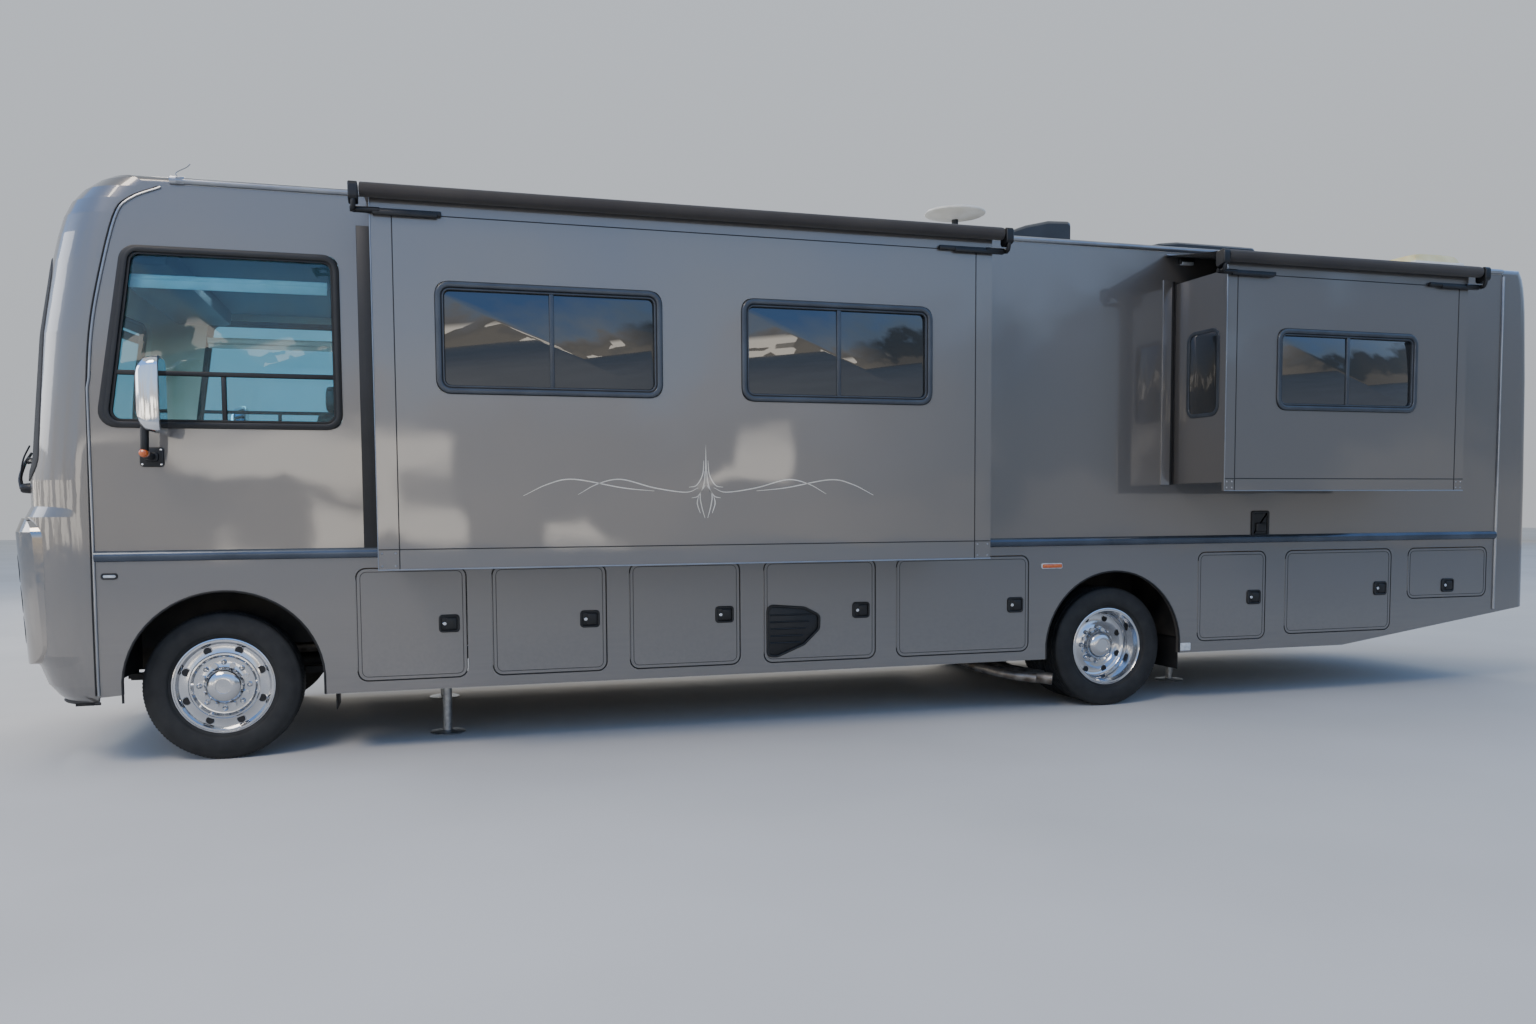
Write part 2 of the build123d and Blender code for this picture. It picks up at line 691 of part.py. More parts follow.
# Steering knuckles: a fork around the beam's eye, on the kingpin, with the wheel spindle
spindle_r = 35
hub_r = 110
plate_y = (kingpin_y + 50, kingpin_y + 95)
knuckle_names = {left: "left_knuckle", right: "right_knuckle"}
front_wheel_y = kingpin_y + wheel_offset
front_disc_y = front_wheel_y + 60
spindle_end = front_disc_y - 18
for side in (left, right):
    with BuildPart() as knuckle:
        for z in (axle_height - eye_half - 5 - 35, axle_height + eye_half + 5):
            block((-40, 40), (side * (kingpin_y - 35), side * plate_y[1]), (z, z + 35))
        block((-60, 60), (side * plate_y[0], side * plate_y[1]), (axle_height - 85, axle_height + 85))
        with Locations((0, side * kingpin_y, axle_height)):
            Cylinder(kingpin_r, 170)
        with Locations(Location((0, side * plate_y[1], axle_height), (-90 * side, 0, 0))):
            Cylinder(spindle_r, spindle_end - plate_y[1], align=(Align.CENTER, Align.CENTER, Align.MIN))
    keep(knuckle_names[side], knuckle.part)

# Wheels: tyre and disc wheel, twins at the rear
bead_w = 190
hand_holes = 8
lug_circle = 225
lugs = 8
disc_t = 16


def tyre(y_middle):
    """A tyre round the axle line, revolved from its half section."""
    low, high = y_middle - tyre_w / 2, y_middle + tyre_w / 2
    bead = rim_d / 2 + 0.2
    with BuildSketch(Plane.YZ) as section:
        with BuildLine():
            Polyline((low + 28, bead), (high - 28, bead))
            ThreePointArc((high - 28, bead), (high, (bead + tyre_d / 2) / 2), (high - 14, tyre_d / 2 - 18))
            Polyline((high - 14, tyre_d / 2 - 18), (high - 34, tyre_d / 2), (low + 34, tyre_d / 2),
                     (low + 14, tyre_d / 2 - 18))
            ThreePointArc((low + 14, tyre_d / 2 - 18), (low, (bead + tyre_d / 2) / 2), (low + 28, bead))
        make_face()
    revolve(section.sketch, axis=Axis.Y)


def barrel(y_middle, disc_y):
    """A wheel's rim with the disc that carries it."""
    low, high = y_middle - bead_w / 2, y_middle + bead_w / 2
    lip = rim_d / 2
    with BuildSketch(Plane.YZ) as section:
        with BuildLine():
            Polyline((low, lip), (high, lip), (high, lip - 18), (high - 30, lip - 34), (low + 30, lip - 34),
                     (low, lip - 18), (low, lip))
        make_face()
    revolve(section.sketch, axis=Axis.Y)
    with Locations(Location((0, disc_y, 0), (90, 0, 0))):
        Cylinder(lip - 30, disc_t)


def set_at(part, x, side):
    """Put a wheel on its axle end; the right one is the mirror of the left one."""
    if side == right:
        part = mirror(part, about=Plane.XZ)
    return part.moved(Location((x, 0, axle_height)))


rear_outer_y = rear_outer_track / 2
rear_inner_y = rear_outer_y - tyre_w - twin_gap
with BuildPart() as front_tyre:
    tyre(front_wheel_y)
with BuildPart() as rear_tyres:
    tyre(rear_outer_y)
    tyre(rear_inner_y)

with BuildPart() as front_wheel:
    barrel(front_wheel_y, front_disc_y)
    with Locations(Location((0, front_disc_y, 0), (90, 0, 0))):
        with PolarLocations(rim_d / 2 - 57, hand_holes):
            Cylinder(20, 60, mode=Mode.SUBTRACT)
    with BuildSketch(Plane.YZ) as hub:
        with BuildLine():
            Polyline((front_disc_y - 75, spindle_r + 0.3), (front_disc_y - 75, hub_r), (front_disc_y, hub_r),
                     (front_disc_y + 25, 85), (front_disc_y + 50, 70), (front_disc_y + 50, 0),
                     (front_disc_y + 20, 0), (front_disc_y + 20, spindle_r + 0.3),
                     (front_disc_y - 75, spindle_r + 0.3))
        make_face()
    revolve(axis=Axis.Y)
    with Locations(Location((0, front_disc_y + 20, 0), (90, 0, 0))):
        with PolarLocations(lug_circle / 2 + 12, lugs, start_angle=22.5):
            Cylinder(15, 36)

rear_disc_y = rear_outer_y - 70
with BuildPart() as rear_wheel:
    barrel(rear_outer_y, rear_disc_y)
    barrel(rear_inner_y, rear_disc_y - disc_t)
    # The inner twin is dished: a bowl joins its rim to its disc
    bowl_foot = rear_inner_y + bead_w / 2 - 60
    with Locations(Location((0, bowl_foot, 0), (-90, 0, 0))):
        Cylinder(rim_d / 2 - 30, rear_disc_y - disc_t - bowl_foot,
                 align=(Align.CENTER, Align.CENTER, Align.MIN))
        Cylinder(rim_d / 2 - 44, rear_disc_y - disc_t * 1.5 - bowl_foot,
                 align=(Align.CENTER, Align.CENTER, Align.MIN), mode=Mode.SUBTRACT)
    with Locations(Location((0, rear_disc_y, 0), (90, 0, 0))):
        with PolarLocations(rim_d / 2 - 70, hand_holes):
            Cylinder(24, 90, mode=Mode.SUBTRACT)
    with BuildSketch(Plane.YZ) as hub:
        with BuildLine():
            start = axle_tube_half + 5
            bore_end = axle_tube_half + axle_stub + 5
            Polyline((start, axle_stub_r + 0.3), (start, 130), (rear_disc_y, 130), (rear_disc_y + 10, 85),
                     (rear_disc_y + 90, 75), (rear_disc_y + 110, 45), (rear_disc_y + 110, 0), (bore_end, 0),
                     (bore_end, axle_stub_r + 0.3), (start, axle_stub_r + 0.3))
        make_face()
    revolve(axis=Axis.Y)
    with Locations(Location((0, rear_disc_y + 20, 0), (90, 0, 0))):
        with PolarLocations(lug_circle / 2, lugs, start_angle=22.5):
            Cylinder(15, 40)
    with Locations(Location((0, axle_tube_half + 5, 0), (-90, 0, 0))):
        Cylinder(axle_stub_r + 0.3, axle_stub, align=(Align.CENTER, Align.CENTER, Align.MIN),
                 mode=Mode.SUBTRACT)

for side, word in ((left, "left"), (right, "right")):
    keep(f"front_{word}_tyre", set_at(front_tyre.part, 0, side))
    keep(f"front_{word}_wheel", set_at(front_wheel.part, 0, side))
    keep(f"rear_{word}_tyres", set_at(rear_tyres.part, rear_axle_x, side))
    keep(f"rear_{word}_wheels", set_at(rear_wheel.part, rear_axle_x, side))

# Exhaust under the left side, ahead of the rear wheel, and the fuel tank between the rear rails
pipe_r = 38
muffler_y = 250
muffler_z = 540
with BuildPart() as exhaust:
    with BuildLine() as route:
        turn_x = rear_axle_x + 781
        FilletPolyline((-150, muffler_y, muffler_z), (turn_x, muffler_y, muffler_z),
                       (turn_x - 50, 520, 330), (turn_x - 110, 1000, 262), (turn_x - 280, 1160, 232),
                       radius=60)
    with BuildSketch(Plane(route.line @ 0, z_dir=route.line % 0)) as bore:
        Circle(pipe_r)
    sweep(bore.sketch, path=route.line)
    with Locations(Location((turn_x + 310, muffler_y, muffler_z), (0, 90, 0))):
        Cylinder(110, 800, align=(Align.CENTER, Align.CENTER, Align.MIN))
    for x in (turn_x + 410, turn_x + 1010):
        block((x - 12, x + 12), (muffler_y, rail_y - rail_web), (muffler_z + 60, rail_low_z))
keep("exhaust", exhaust.part)

tank_rear, tank_front = rear_axle_x - 2809, rear_axle_x - 1509
with BuildPart() as fuel_tank:
    block((tank_rear, tank_front), (-rail_y + 32, rail_y - 32), (480, rail_low_z))
    fillet(fuel_tank.edges().filter_by(Axis.X), 60)
    for x in (tank_rear + 120, tank_front - 120):
        block((x - 30, x + 30), (-rail_y, rail_y), (rail_low_z - 12, rail_low_z))
keep("fuel_tank", fuel_tank.part)

# Mirrors on arms beside the cab windows
mirror_reach = 330
mirror_w, mirror_h = 210, 405
mirror_z = 2044
mirror_rear = 190
arm_y = half + mirror_reach - 105
with BuildPart() as mirrors:
    for side in (left, right):
        block((235, 360), (side * half, side * (half + 14)), (1672, 1780))
        block((275, 320), (side * (half + 14), side * (arm_y + 45)), (1700, 1745))
        block((275, 320), (side * arm_y, side * (arm_y + 45)), (1745, mirror_z - mirror_h / 2 + 18))
        with BuildSketch(Plane.YZ.offset(mirror_rear)) as head:
            with Locations((side * (half + mirror_reach - mirror_w / 2), mirror_z)):
                RectangleRounded(mirror_w, mirror_h, 50)
        extrude(head.sketch, amount=120)
keep("mirrors", mirrors.part)

# Roof: air conditioners, antenna on its post, dome vent and low boxes
crown_rise = roof_crown - roof_edge


def roof_at(y):
    """Height of the roof's skin at a distance from the middle."""
    radius = (half ** 2 + crown_rise ** 2) / (2 * crown_rise)
    return roof_crown - radius + (radius ** 2 - y ** 2) ** 0.5


cover_half = 370
cover_x = -3790
rear_cover_x = rear_axle_x - 1919
shroud_x = rear_axle_x - 199
with BuildPart() as air_conditioners:
    # Side profiles of the covers, from their rear ends: x, height above the crown
    covers = [
        (cover_x, [(0, -60), (0, 190), (30, 230), (90, 248), (740, 248), (820, 225), (850, 160),
                   (860, -60)]),
        (rear_cover_x, [(0, -60), (0, 205), (25, 232), (780, 235), (950, 215), (1070, 150), (1110, 60),
                        (1110, -60)]),
        (shroud_x, [(0, -60), (0, 322), (20, 340), (200, 333), (400, 285), (570, 220), (850, 40),
                    (870, -60)]),
    ]
    for rear, points in covers:
        with BuildSketch(Plane.XZ) as side_view:
            with BuildLine():
                Polyline(*[(rear + x, roof_crown + rise) for x, rise in points], close=True)
            make_face()
        extrude(side_view.sketch, amount=cover_half, both=True)
    add(outer_form, mode=Mode.SUBTRACT)
keep("air_conditioners", air_conditioners.part)

antenna_x, antenna_y = -4950, 420
antenna_r = 225
post_r = 20
antenna_foot = roof_at(antenna_y + 50)
vent_x = rear_axle_x - 3059
vent_y = 800
vent_size = 500
vent_foot_z = roof_at(vent_y + vent_size / 2) - 1
vent_rim = roof_crown + 30
with BuildPart() as roof_fittings:
    with Locations((antenna_x, antenna_y, antenna_foot)):
        Cylinder(45, 40 + roof_crown - antenna_foot, align=(Align.CENTER, Align.CENTER, Align.MIN))
        Cylinder(post_r, 330, align=(Align.CENTER, Align.CENTER, Align.MIN))
    with BuildSketch(Plane.XZ) as disc:
        with BuildLine():
            Polyline((0, 250), (40, 252), (antenna_r - 5, 284), (antenna_r, 293), (antenna_r - 10, 303),
                     (90, 325), (0, 330), close=True)
        make_face()
    dish = revolve(disc.sketch, axis=Axis.Z, mode=Mode.PRIVATE)
    add(dish.moved(Location((antenna_x, antenna_y, roof_crown))))
    with Locations((vent_x, vent_y, vent_foot_z)):
        Box(vent_size, vent_size, vent_rim - vent_foot_z, align=(Align.CENTER, Align.CENTER, Align.MIN))
    with BuildSketch(Plane.XY.offset(vent_rim - 2)) as vent_foot:
        with Locations((vent_x, vent_y)):
            RectangleRounded(vent_size - 40, vent_size - 40, 60)
    extrude(vent_foot.sketch, amount=80, taper=38)
    add(outer_form, mode=Mode.SUBTRACT)
keep("roof_fittings", roof_fittings.part)

# Patio awning, folded along the top of the right wall
with BuildPart() as patio_awning:
    with Locations(Location((-6400, -half - 75, 3090), (0, 90, 0))):
        Cylinder(55, 4700, align=(Align.CENTER, Align.CENTER, Align.MIN))
    for x in (-6440, -1700):
        block((x, x + 45), (-half - 130, -half), (2950, 3170))
        block((x, x + 45), (-half - 45, -half), (1500, 2950))
keep("patio_awning", patio_awning.part)

# Cab: dash with the steering wheel, and two seats
driver_y = 620
seat_y = 680
seat_half = 265
armrest_y = (seat_half + 10, seat_half + 65)
with BuildPart() as dash:
    with BuildSketch(Plane.XZ) as dash_side:
        with BuildLine():
            Polyline((760, floor_top), (500, floor_top), (480, 1290), (400, 1330), (395, 1470), (450, 1570),
                     (560, 1600), (760, 1560), close=True)
        make_face()
        fillet(dash_side.vertices().group_by(Axis.Z)[-1], 30)
    extrude(amount=inner_half - 105, both=True)
    with Locations(Location((330, driver_y, 1560), (0, -55, 0))):
        Cylinder(210, 30)
        Cylinder(185, 30, mode=Mode.SUBTRACT)
        Box(390, 40, 24)
        Cylinder(28, 260, align=(Align.CENTER, Align.CENTER, Align.MAX))
keep("dash", dash.part)

with BuildPart() as cab_seats:
    for side in (left, right):
        y = side * seat_y
        with Locations((-300, y, floor_top)):
            Cylinder(130, 300, align=(Align.CENTER, Align.CENTER, Align.MIN))
        with BuildSketch(Plane.XZ.offset(-y)) as seat_side:
            with BuildLine():
                Polyline((-20, floor_top + 300), (-560, floor_top + 300), (-640, floor_top + 330),
                         (-740, floor_top + 1040), (-620, floor_top + 1060), (-520, floor_top + 480),
                         (-20, floor_top + 470), close=True)
            make_face()
            fillet(seat_side.vertices(), 45)
        extrude(seat_side.sketch, amount=seat_half, both=True)
        for edge in (left, right):
            block((-600, -160), (y + edge * armrest_y[0], y + edge * armrest_y[1]),
                  (floor_top + 560, floor_top + 620))
            block((-620, -560), (y + edge * (seat_half - 20), y + edge * armrest_y[1]),
                  (floor_top + 560, floor_top + 620))
keep("cab_seats", cab_seats.part)

# Slide-out rooms, drawn out, each with a topper: a roller that runs past both ends of the room's face
roller_r = 38
roller_rise = 2
roller_out = 50
roller_past = 100
topper_cap_w = 50
topper_foot = 380
topper_drop = 110
for name, (rear, front, low, high, seat) in rooms.items():
    gap_x, gap_z = wall_opening(name)
    room_x = (gap_x[0] + slide_gap, gap_x[1] - slide_gap)
    room_low = seat + seat_gap
    room_high = gap_z[1] - slide_gap
    face = fascia_face
    with BuildPart() as room:
        block(room_x, (inner_end, face - fascia_t), (room_low, room_high))
        block((room_x[0] + room_wall, room_x[1] - room_wall), (inner_end - 1, face - fascia_t - room_wall),
              (room_low + room_wall, room_high - room_wall), Mode.SUBTRACT)
        block((rear, front), (face - fascia_t, face), (low, high))
        for edges in room_windows[name]:
            add(side_outline(rectangle(*edges), cab_window_r, 0, face - 200, face + 50), mode=Mode.SUBTRACT)
    keep(f"{name}_room", room.part)

    with BuildPart() as panes:
        for edges in room_windows[name]:
            add(window(rectangle(*edges), cab_window_r, face, left))
    keep(f"{name}_windows", panes.part)

    roller_z = high + roller_rise
    roller_y = face + roller_out
    with BuildPart() as topper:
        with Locations(Location((rear - roller_past, roller_y, roller_z), (0, 90, 0))):
            Cylinder(roller_r, front - rear + 2 * roller_past, align=(Align.CENTER, Align.CENTER, Align.MIN))
        for end_x, inwards in ((rear - roller_past, 1), (front + roller_past, -1)):
            block((end_x, end_x + inwards * topper_cap_w), (face, roller_y + roller_r + 4),
                  (high - topper_drop, roller_z + roller_r))
            block((end_x, end_x + inwards * (roller_past + topper_foot)), (face, face + 30),
                  (high - topper_drop, high - topper_drop + 35))
    keep(f"{name}_topper", topper.part)

    with BuildPart() as fabric:
        with BuildSketch(Plane.YZ.offset(rear - 40)) as drop:
            with BuildLine():
                Polyline((half + 0.3, 3180), (roller_y, roller_z + roller_r + 4.3),
                         (roller_y, roller_z + roller_r + 0.3), (half + 0.3, 3176), (half + 0.3, 3180))
            make_face()
        extrude(amount=front - rear + 80)
    keep(f"{name}_topper_fabric", fabric.part)

# The origin: on the ground, below the middle of the whole coach
nose_reach = nose_x + bulge_reach
tail_reach = receiver_x - 60
left_reach = fascia_face + roller_out + roller_r + 4
right_reach = -half - mirror_reach
origin = ((nose_reach + tail_reach) / 2, (left_reach + right_reach) / 2, 0)

for name, piece in pieces.items():
    placed = piece.moved(Location((-origin[0], -origin[1], 0)))
    placed.label = name
    export_step(placed, f"parts/{name}.step")
print("origin", origin, "nodes", len(pieces))
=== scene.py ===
# %% [markdown]
# # A motorhome with two slide-out rooms
# The coach's shape comes from its CAD model. This lesson dresses it: it sets up the camera, mixes one
# material for each real finish, and then builds the parts that the eye looks for, such as window frames,
# latches, tyres, awning fabric and lamps. Every piece is tied to the body that it moves with.

# %% Load the fixed frame
import math
import bmesh
import bpy
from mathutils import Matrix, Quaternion, Vector


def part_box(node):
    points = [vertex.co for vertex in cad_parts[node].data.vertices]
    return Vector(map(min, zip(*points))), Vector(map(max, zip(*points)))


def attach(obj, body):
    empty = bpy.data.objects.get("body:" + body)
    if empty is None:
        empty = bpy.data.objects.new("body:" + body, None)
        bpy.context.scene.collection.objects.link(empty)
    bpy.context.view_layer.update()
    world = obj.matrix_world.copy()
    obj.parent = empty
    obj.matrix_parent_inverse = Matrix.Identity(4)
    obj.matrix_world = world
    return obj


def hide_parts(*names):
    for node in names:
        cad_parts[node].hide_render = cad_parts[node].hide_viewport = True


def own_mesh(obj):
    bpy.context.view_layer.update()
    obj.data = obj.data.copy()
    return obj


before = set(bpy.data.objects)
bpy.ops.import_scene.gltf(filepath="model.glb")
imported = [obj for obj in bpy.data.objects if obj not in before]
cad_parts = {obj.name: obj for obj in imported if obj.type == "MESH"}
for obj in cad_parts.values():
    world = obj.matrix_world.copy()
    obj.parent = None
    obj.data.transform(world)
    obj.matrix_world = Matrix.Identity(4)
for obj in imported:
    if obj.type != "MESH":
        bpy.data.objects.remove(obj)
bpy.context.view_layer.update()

# %% [markdown]
# ## Where things are
# A coach builder measures from the front axle, the middle of the body and the ground. The same three
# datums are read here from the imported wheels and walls, so every later number is a distance that one
# could take with a tape on the real coach.

# %% Datums
def middle(node, axis):
    """The middle of a CAD node's box along one axis."""
    low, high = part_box(node)
    return (low[axis] + high[axis]) / 2


AXLE_X = middle("front_left_wheel", 0)
AXLE_Z = middle("front_left_wheel", 2)
MID_Y = (middle("front_left_wheel", 1) + middle("front_right_wheel", 1)) / 2
REAR_X = middle("rear_left_wheels", 0) - AXLE_X
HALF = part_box("left_skirt")[1].y - MID_Y
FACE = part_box("main_slide_room")[1].y - MID_Y


def at(x, y, z):
    """A point of the coach: forward of the front axle, left of the middle, above the ground."""
    return Vector((AXLE_X + x, MID_Y + y, z))


def on_left(a, b, c):
    """A place on the left wall: forward, up, and outwards from its skin."""
    return at(a, HALF + c, b)


def on_right(a, b, c):
    """The same on the right wall."""
    return at(a, -HALF - c, b)


def on_face(a, b, c):
    """The same on the outer face of the slide rooms."""
    return at(a, FACE + c, b)


print("half width", round(HALF, 3), "slide face", round(FACE, 3), "wheelbase", round(-REAR_X, 3))

# %% [markdown]
# ## The camera
# The picture was taken from the left side with a wide lens, a little ahead of the middle and at eye
# height. The horizon sits below the middle of the frame, so the lens is shifted instead of tilted more.

# %% Camera
camera_data = bpy.data.cameras.new("camera")
camera_data.sensor_width = 36
camera_data.lens = 26.8
camera_data.shift_y = 64 / 1536
camera_data.clip_start, camera_data.clip_end = 0.05, 200
camera = bpy.data.objects.new("camera", camera_data)
bpy.context.scene.collection.objects.link(camera)
turn, tilt, roll = 0.2895, -0.0593, -0.0057
look = Vector((-math.sin(turn) * math.cos(tilt), -math.cos(turn) * math.cos(tilt), math.sin(tilt)))
camera.location = at(-1.138, 8.299, 1.427)
camera.rotation_mode = "QUATERNION"
camera.rotation_quaternion = look.to_track_quat("-Z", "Y") @ Quaternion((0, 0, 1), roll)
bpy.context.scene.camera = camera
print("camera at", [round(v, 2) for v in camera.location])

# %% [markdown]
# ## Studio
# The coach is very glossy, so what it mirrors matters as much as its colour. The floor and the sky stay
# plain and pale. Behind the camera stands a tall curved canvas that only the paint and the glass can
# see: warm ground with bright patches, a dark band with a ragged top, and blue above, as outdoors.

# %% Colours and nodes
def linear(code):
    """An sRGB hex colour as the linear RGBA that the shaders use."""
    parts = [int(code[i:i + 2], 16) / 255 for i in (1, 3, 5)]
    return tuple(v / 12.92 if v <= 0.04045 else ((v + 0.055) / 1.055) ** 2.4 for v in parts) + (1.0,)


def add(tree, kind, inputs=None, stops=(), **settings):
    """Add a node with its settings, fill or link its inputs, and set a ramp's stops of position and value."""
    node = tree.nodes.new(kind)
    for key, value in settings.items():
        setattr(node, key, value)
    for key, value in (inputs or {}).items():
        if isinstance(value, bpy.types.NodeSocket):
            tree.links.new(value, node.inputs[key])
        else:
            node.inputs[key].default_value = value
    for _ in stops[2:]:
        node.color_ramp.elements.new(0.5)
    for k, (position, value) in enumerate(stops):
        element = node.color_ramp.elements[k]
        element.position = position
        element.color = linear(value) if isinstance(value, str) else (value, value, value, 1)
    return node


print("a mid grey in linear light", [round(v, 3) for v in linear("#808080")[:3]])

# %% [markdown]
# ### Sky
# Outdoors the sky fills most of what a roof or a hood mirrors. A photographed sky would bring its own sun
# and clouds, so a plain pale gradient does instead: it is even, and it gives clean edges to the coach.

# %% Sky
world = bpy.data.worlds.new("studio")
world.use_nodes = True
bpy.context.scene.world = world
sky = world.node_tree
axes = add(sky, "ShaderNodeSeparateXYZ", {0: add(sky, "ShaderNodeTexCoord").outputs["Generated"]})
plain = add(sky, "ShaderNodeValToRGB", {"Fac": axes.outputs["Z"]}, stops=[(0.0, "#c6c9cd"), (0.9, "#d9e2ee")])
sky.links.new(plain.outputs["Color"], sky.nodes["Background"].inputs["Color"])
sky.nodes["Background"].inputs["Strength"].default_value = 1.0
print("sky with", len(sky.nodes), "nodes")

# %% [markdown]
# ### Painted canvas
# In a studio, painted cloth hangs where a shiny thing would mirror the room. Real trees and ground could
# be modelled, but only their wobbling mirror image is ever seen, so bands of colour with a ragged edge
# are enough. They glow, because they stand for ground and sky in daylight.

# %% Painted canvas
canvas_material = bpy.data.materials.new("painted_studio_canvas")
canvas_material.use_nodes = True
canvas = canvas_material.node_tree
canvas.nodes.remove(canvas.nodes["Principled BSDF"])
place = add(canvas, "ShaderNodeTexCoord").outputs["Object"]
way = add(canvas, "ShaderNodeVectorMath", {0: place}, operation="NORMALIZE").outputs[0]
parts = add(canvas, "ShaderNodeSeparateXYZ", {0: way})
rise = parts.outputs["Z"]
ahead = add(canvas, "ShaderNodeMapRange", {"Value": parts.outputs["X"], "From Min": -0.50,
                                           "From Max": -0.30}).outputs[0]
ragged = add(canvas, "ShaderNodeTexNoise", {"Vector": way, "Scale": 9.0, "Detail": 6.0}).outputs[0]
edge = add(canvas, "ShaderNodeMath", {0: ragged, 1: 0.5}, operation="SUBTRACT").outputs[0]
edge = add(canvas, "ShaderNodeMath", {0: edge, 1: 0.35, 2: rise}, operation="MULTIPLY_ADD").outputs[0]
near_side = add(canvas, "ShaderNodeValToRGB", {"Fac": edge}, stops=[
    (0.0, "#b4ada4"), (0.04, "#a6a29d"), (0.10, "#b0afb1"), (0.15, "#a7b6cb"), (0.45, "#7099d6")])
trees = add(canvas, "ShaderNodeValToRGB", {"Fac": edge}, stops=[
    (0.0, "#8b8987"), (0.04, "#686d74"), (0.16, "#5e6773"), (0.22, "#8fa6c4"), (0.45, "#7ea4dc")])
bands = add(canvas, "ShaderNodeMix", {0: ahead, 6: trees.outputs[0], 7: near_side.outputs[0]},
            data_type="RGBA").outputs[2]
tiles = add(canvas, "ShaderNodeTexVoronoi", {"Vector": way, "Scale": 13.0}, distance="CHEBYCHEV")
patches = add(canvas, "ShaderNodeValToRGB", {"Fac": tiles.outputs["Color"]},
              stops=[(0.58, "#000000"), (0.61, "#efe6d8")]).outputs[0]
low = add(canvas, "ShaderNodeValToRGB", {"Fac": rise},
          stops=[(0.0, "#ffffff"), (0.060, "#ffffff"), (0.085, "#000000")]).outputs[0]
patches = add(canvas, "ShaderNodeMix", {0: 1.0, 6: patches, 7: low}, data_type="RGBA",
              blend_type="MULTIPLY").outputs[2]
strength = add(canvas, "ShaderNodeMath", {0: ahead, 1: 1.7}, operation="MULTIPLY").outputs[0]
patches = add(canvas, "ShaderNodeVectorMath", {0: patches, 3: strength}, operation="SCALE").outputs[0]
drawn = add(canvas, "ShaderNodeVectorMath", {0: bands, 1: patches}, operation="ADD").outputs[0]
glow = add(canvas, "ShaderNodeEmission", {"Color": drawn, "Strength": 2.2})
canvas.links.new(glow.outputs[0], canvas.nodes["Material Output"].inputs["Surface"])
canvas_mesh = bpy.data.meshes.new("canvas")
CANVAS_RADIUS, CANVAS_LOW, CANVAS_HIGH = 45, -1.4, 42
turns = [math.radians(-35 + 5 * k) for k in range(51)]
canvas_mesh.from_pydata([(CANVAS_RADIUS * math.cos(w), CANVAS_RADIUS * math.sin(w), z)
                         for w in turns for z in (CANVAS_LOW, CANVAS_HIGH)], [],
                        [(2 * k, 2 * k + 1, 2 * k + 3, 2 * k + 2) for k in range(len(turns) - 1)])
canvas_mesh.materials.append(canvas_material)
curtain = bpy.data.objects.new("canvas", canvas_mesh)
curtain.location = at(-3, 0, -CANVAS_LOW)
curtain.visible_camera = False
bpy.context.scene.collection.objects.link(curtain)
print("canvas", CANVAS_RADIUS, "m away with", len(canvas.nodes), "nodes")

# %% [markdown]
# ### Lights and floor
# Daylight in the shade has no hard shadow. A small bright lamp would draw one, so large area lights stand
# in: a warm key from the front left, a broad one behind, a weak one for the nose, and a dim one in the
# cab that shows the seats and the dash through the glass.

# %% Lights and floor
def light(name, place, target, width, height, power, colour):
    """A large soft area light that points at a target."""
    data = bpy.data.lights.new(name, "AREA")
    data.shape, data.size, data.size_y = "RECTANGLE", width, height
    data.energy, data.color = power, linear(colour)[:3]
    lamp = bpy.data.objects.new(name, data)
    lamp.location = place
    lamp.rotation_mode = "QUATERNION"
    lamp.rotation_quaternion = (target - place).to_track_quat("-Z", "Y")
    bpy.context.scene.collection.objects.link(lamp)
    print(name, "light", power, "W")
    return lamp


light("key", at(6, 10, 13), at(-1.5, 0, 1.0), 7, 5, 1500, "#fff0dc")
light("back", at(-4, -12, 9), at(-4, 0, 1.5), 14, 6, 1100, "#fff6ea")
light("nose", at(11, -1, 5), at(1, 0, 1.6), 6, 4, 250, "#ffffff")
dome_light = light("cab", at(0.1, 0, 2.88), at(-0.2, 0, 1.5), 0.5, 1.6, 75, "#eefaff")
dome_light.visible_glossy = dome_light.visible_transmission = dome_light.visible_camera = False

FLOOR = 60
floor_mesh = bpy.data.meshes.new("floor")
floor_mesh.from_pydata([(-FLOOR, -FLOOR, 0), (FLOOR, -FLOOR, 0), (FLOOR, FLOOR, 0), (-FLOOR, FLOOR, 0)],
                       [], [(0, 1, 2, 3)])
floor = bpy.data.objects.new("floor", floor_mesh)
bpy.context.scene.collection.objects.link(floor)

# %% [markdown]
# ## Materials
# Each finish starts from what it is made of. One function makes the shader, one gives a surface its
# small-scale relief at a real size, and one lets two tones drift into each other as on any real surface.
# The patterns could be painted pictures, but procedural ones keep their real size on every piece and
# need no unwrapping.

# %% Material helpers
finishes = {}


def finish(name, colour, **sockets):
    """A principled material with plain values on the shader's own sockets."""
    material = bpy.data.materials.new(name)
    material.use_nodes = True
    tree = material.node_tree
    shader = tree.nodes["Principled BSDF"]
    shader.inputs["Base Color"].default_value = linear(colour)
    for key, value in sockets.items():
        shader.inputs[key.replace("_", " ")].default_value = value
    finishes[name] = material
    print("finish", name)
    return tree, shader


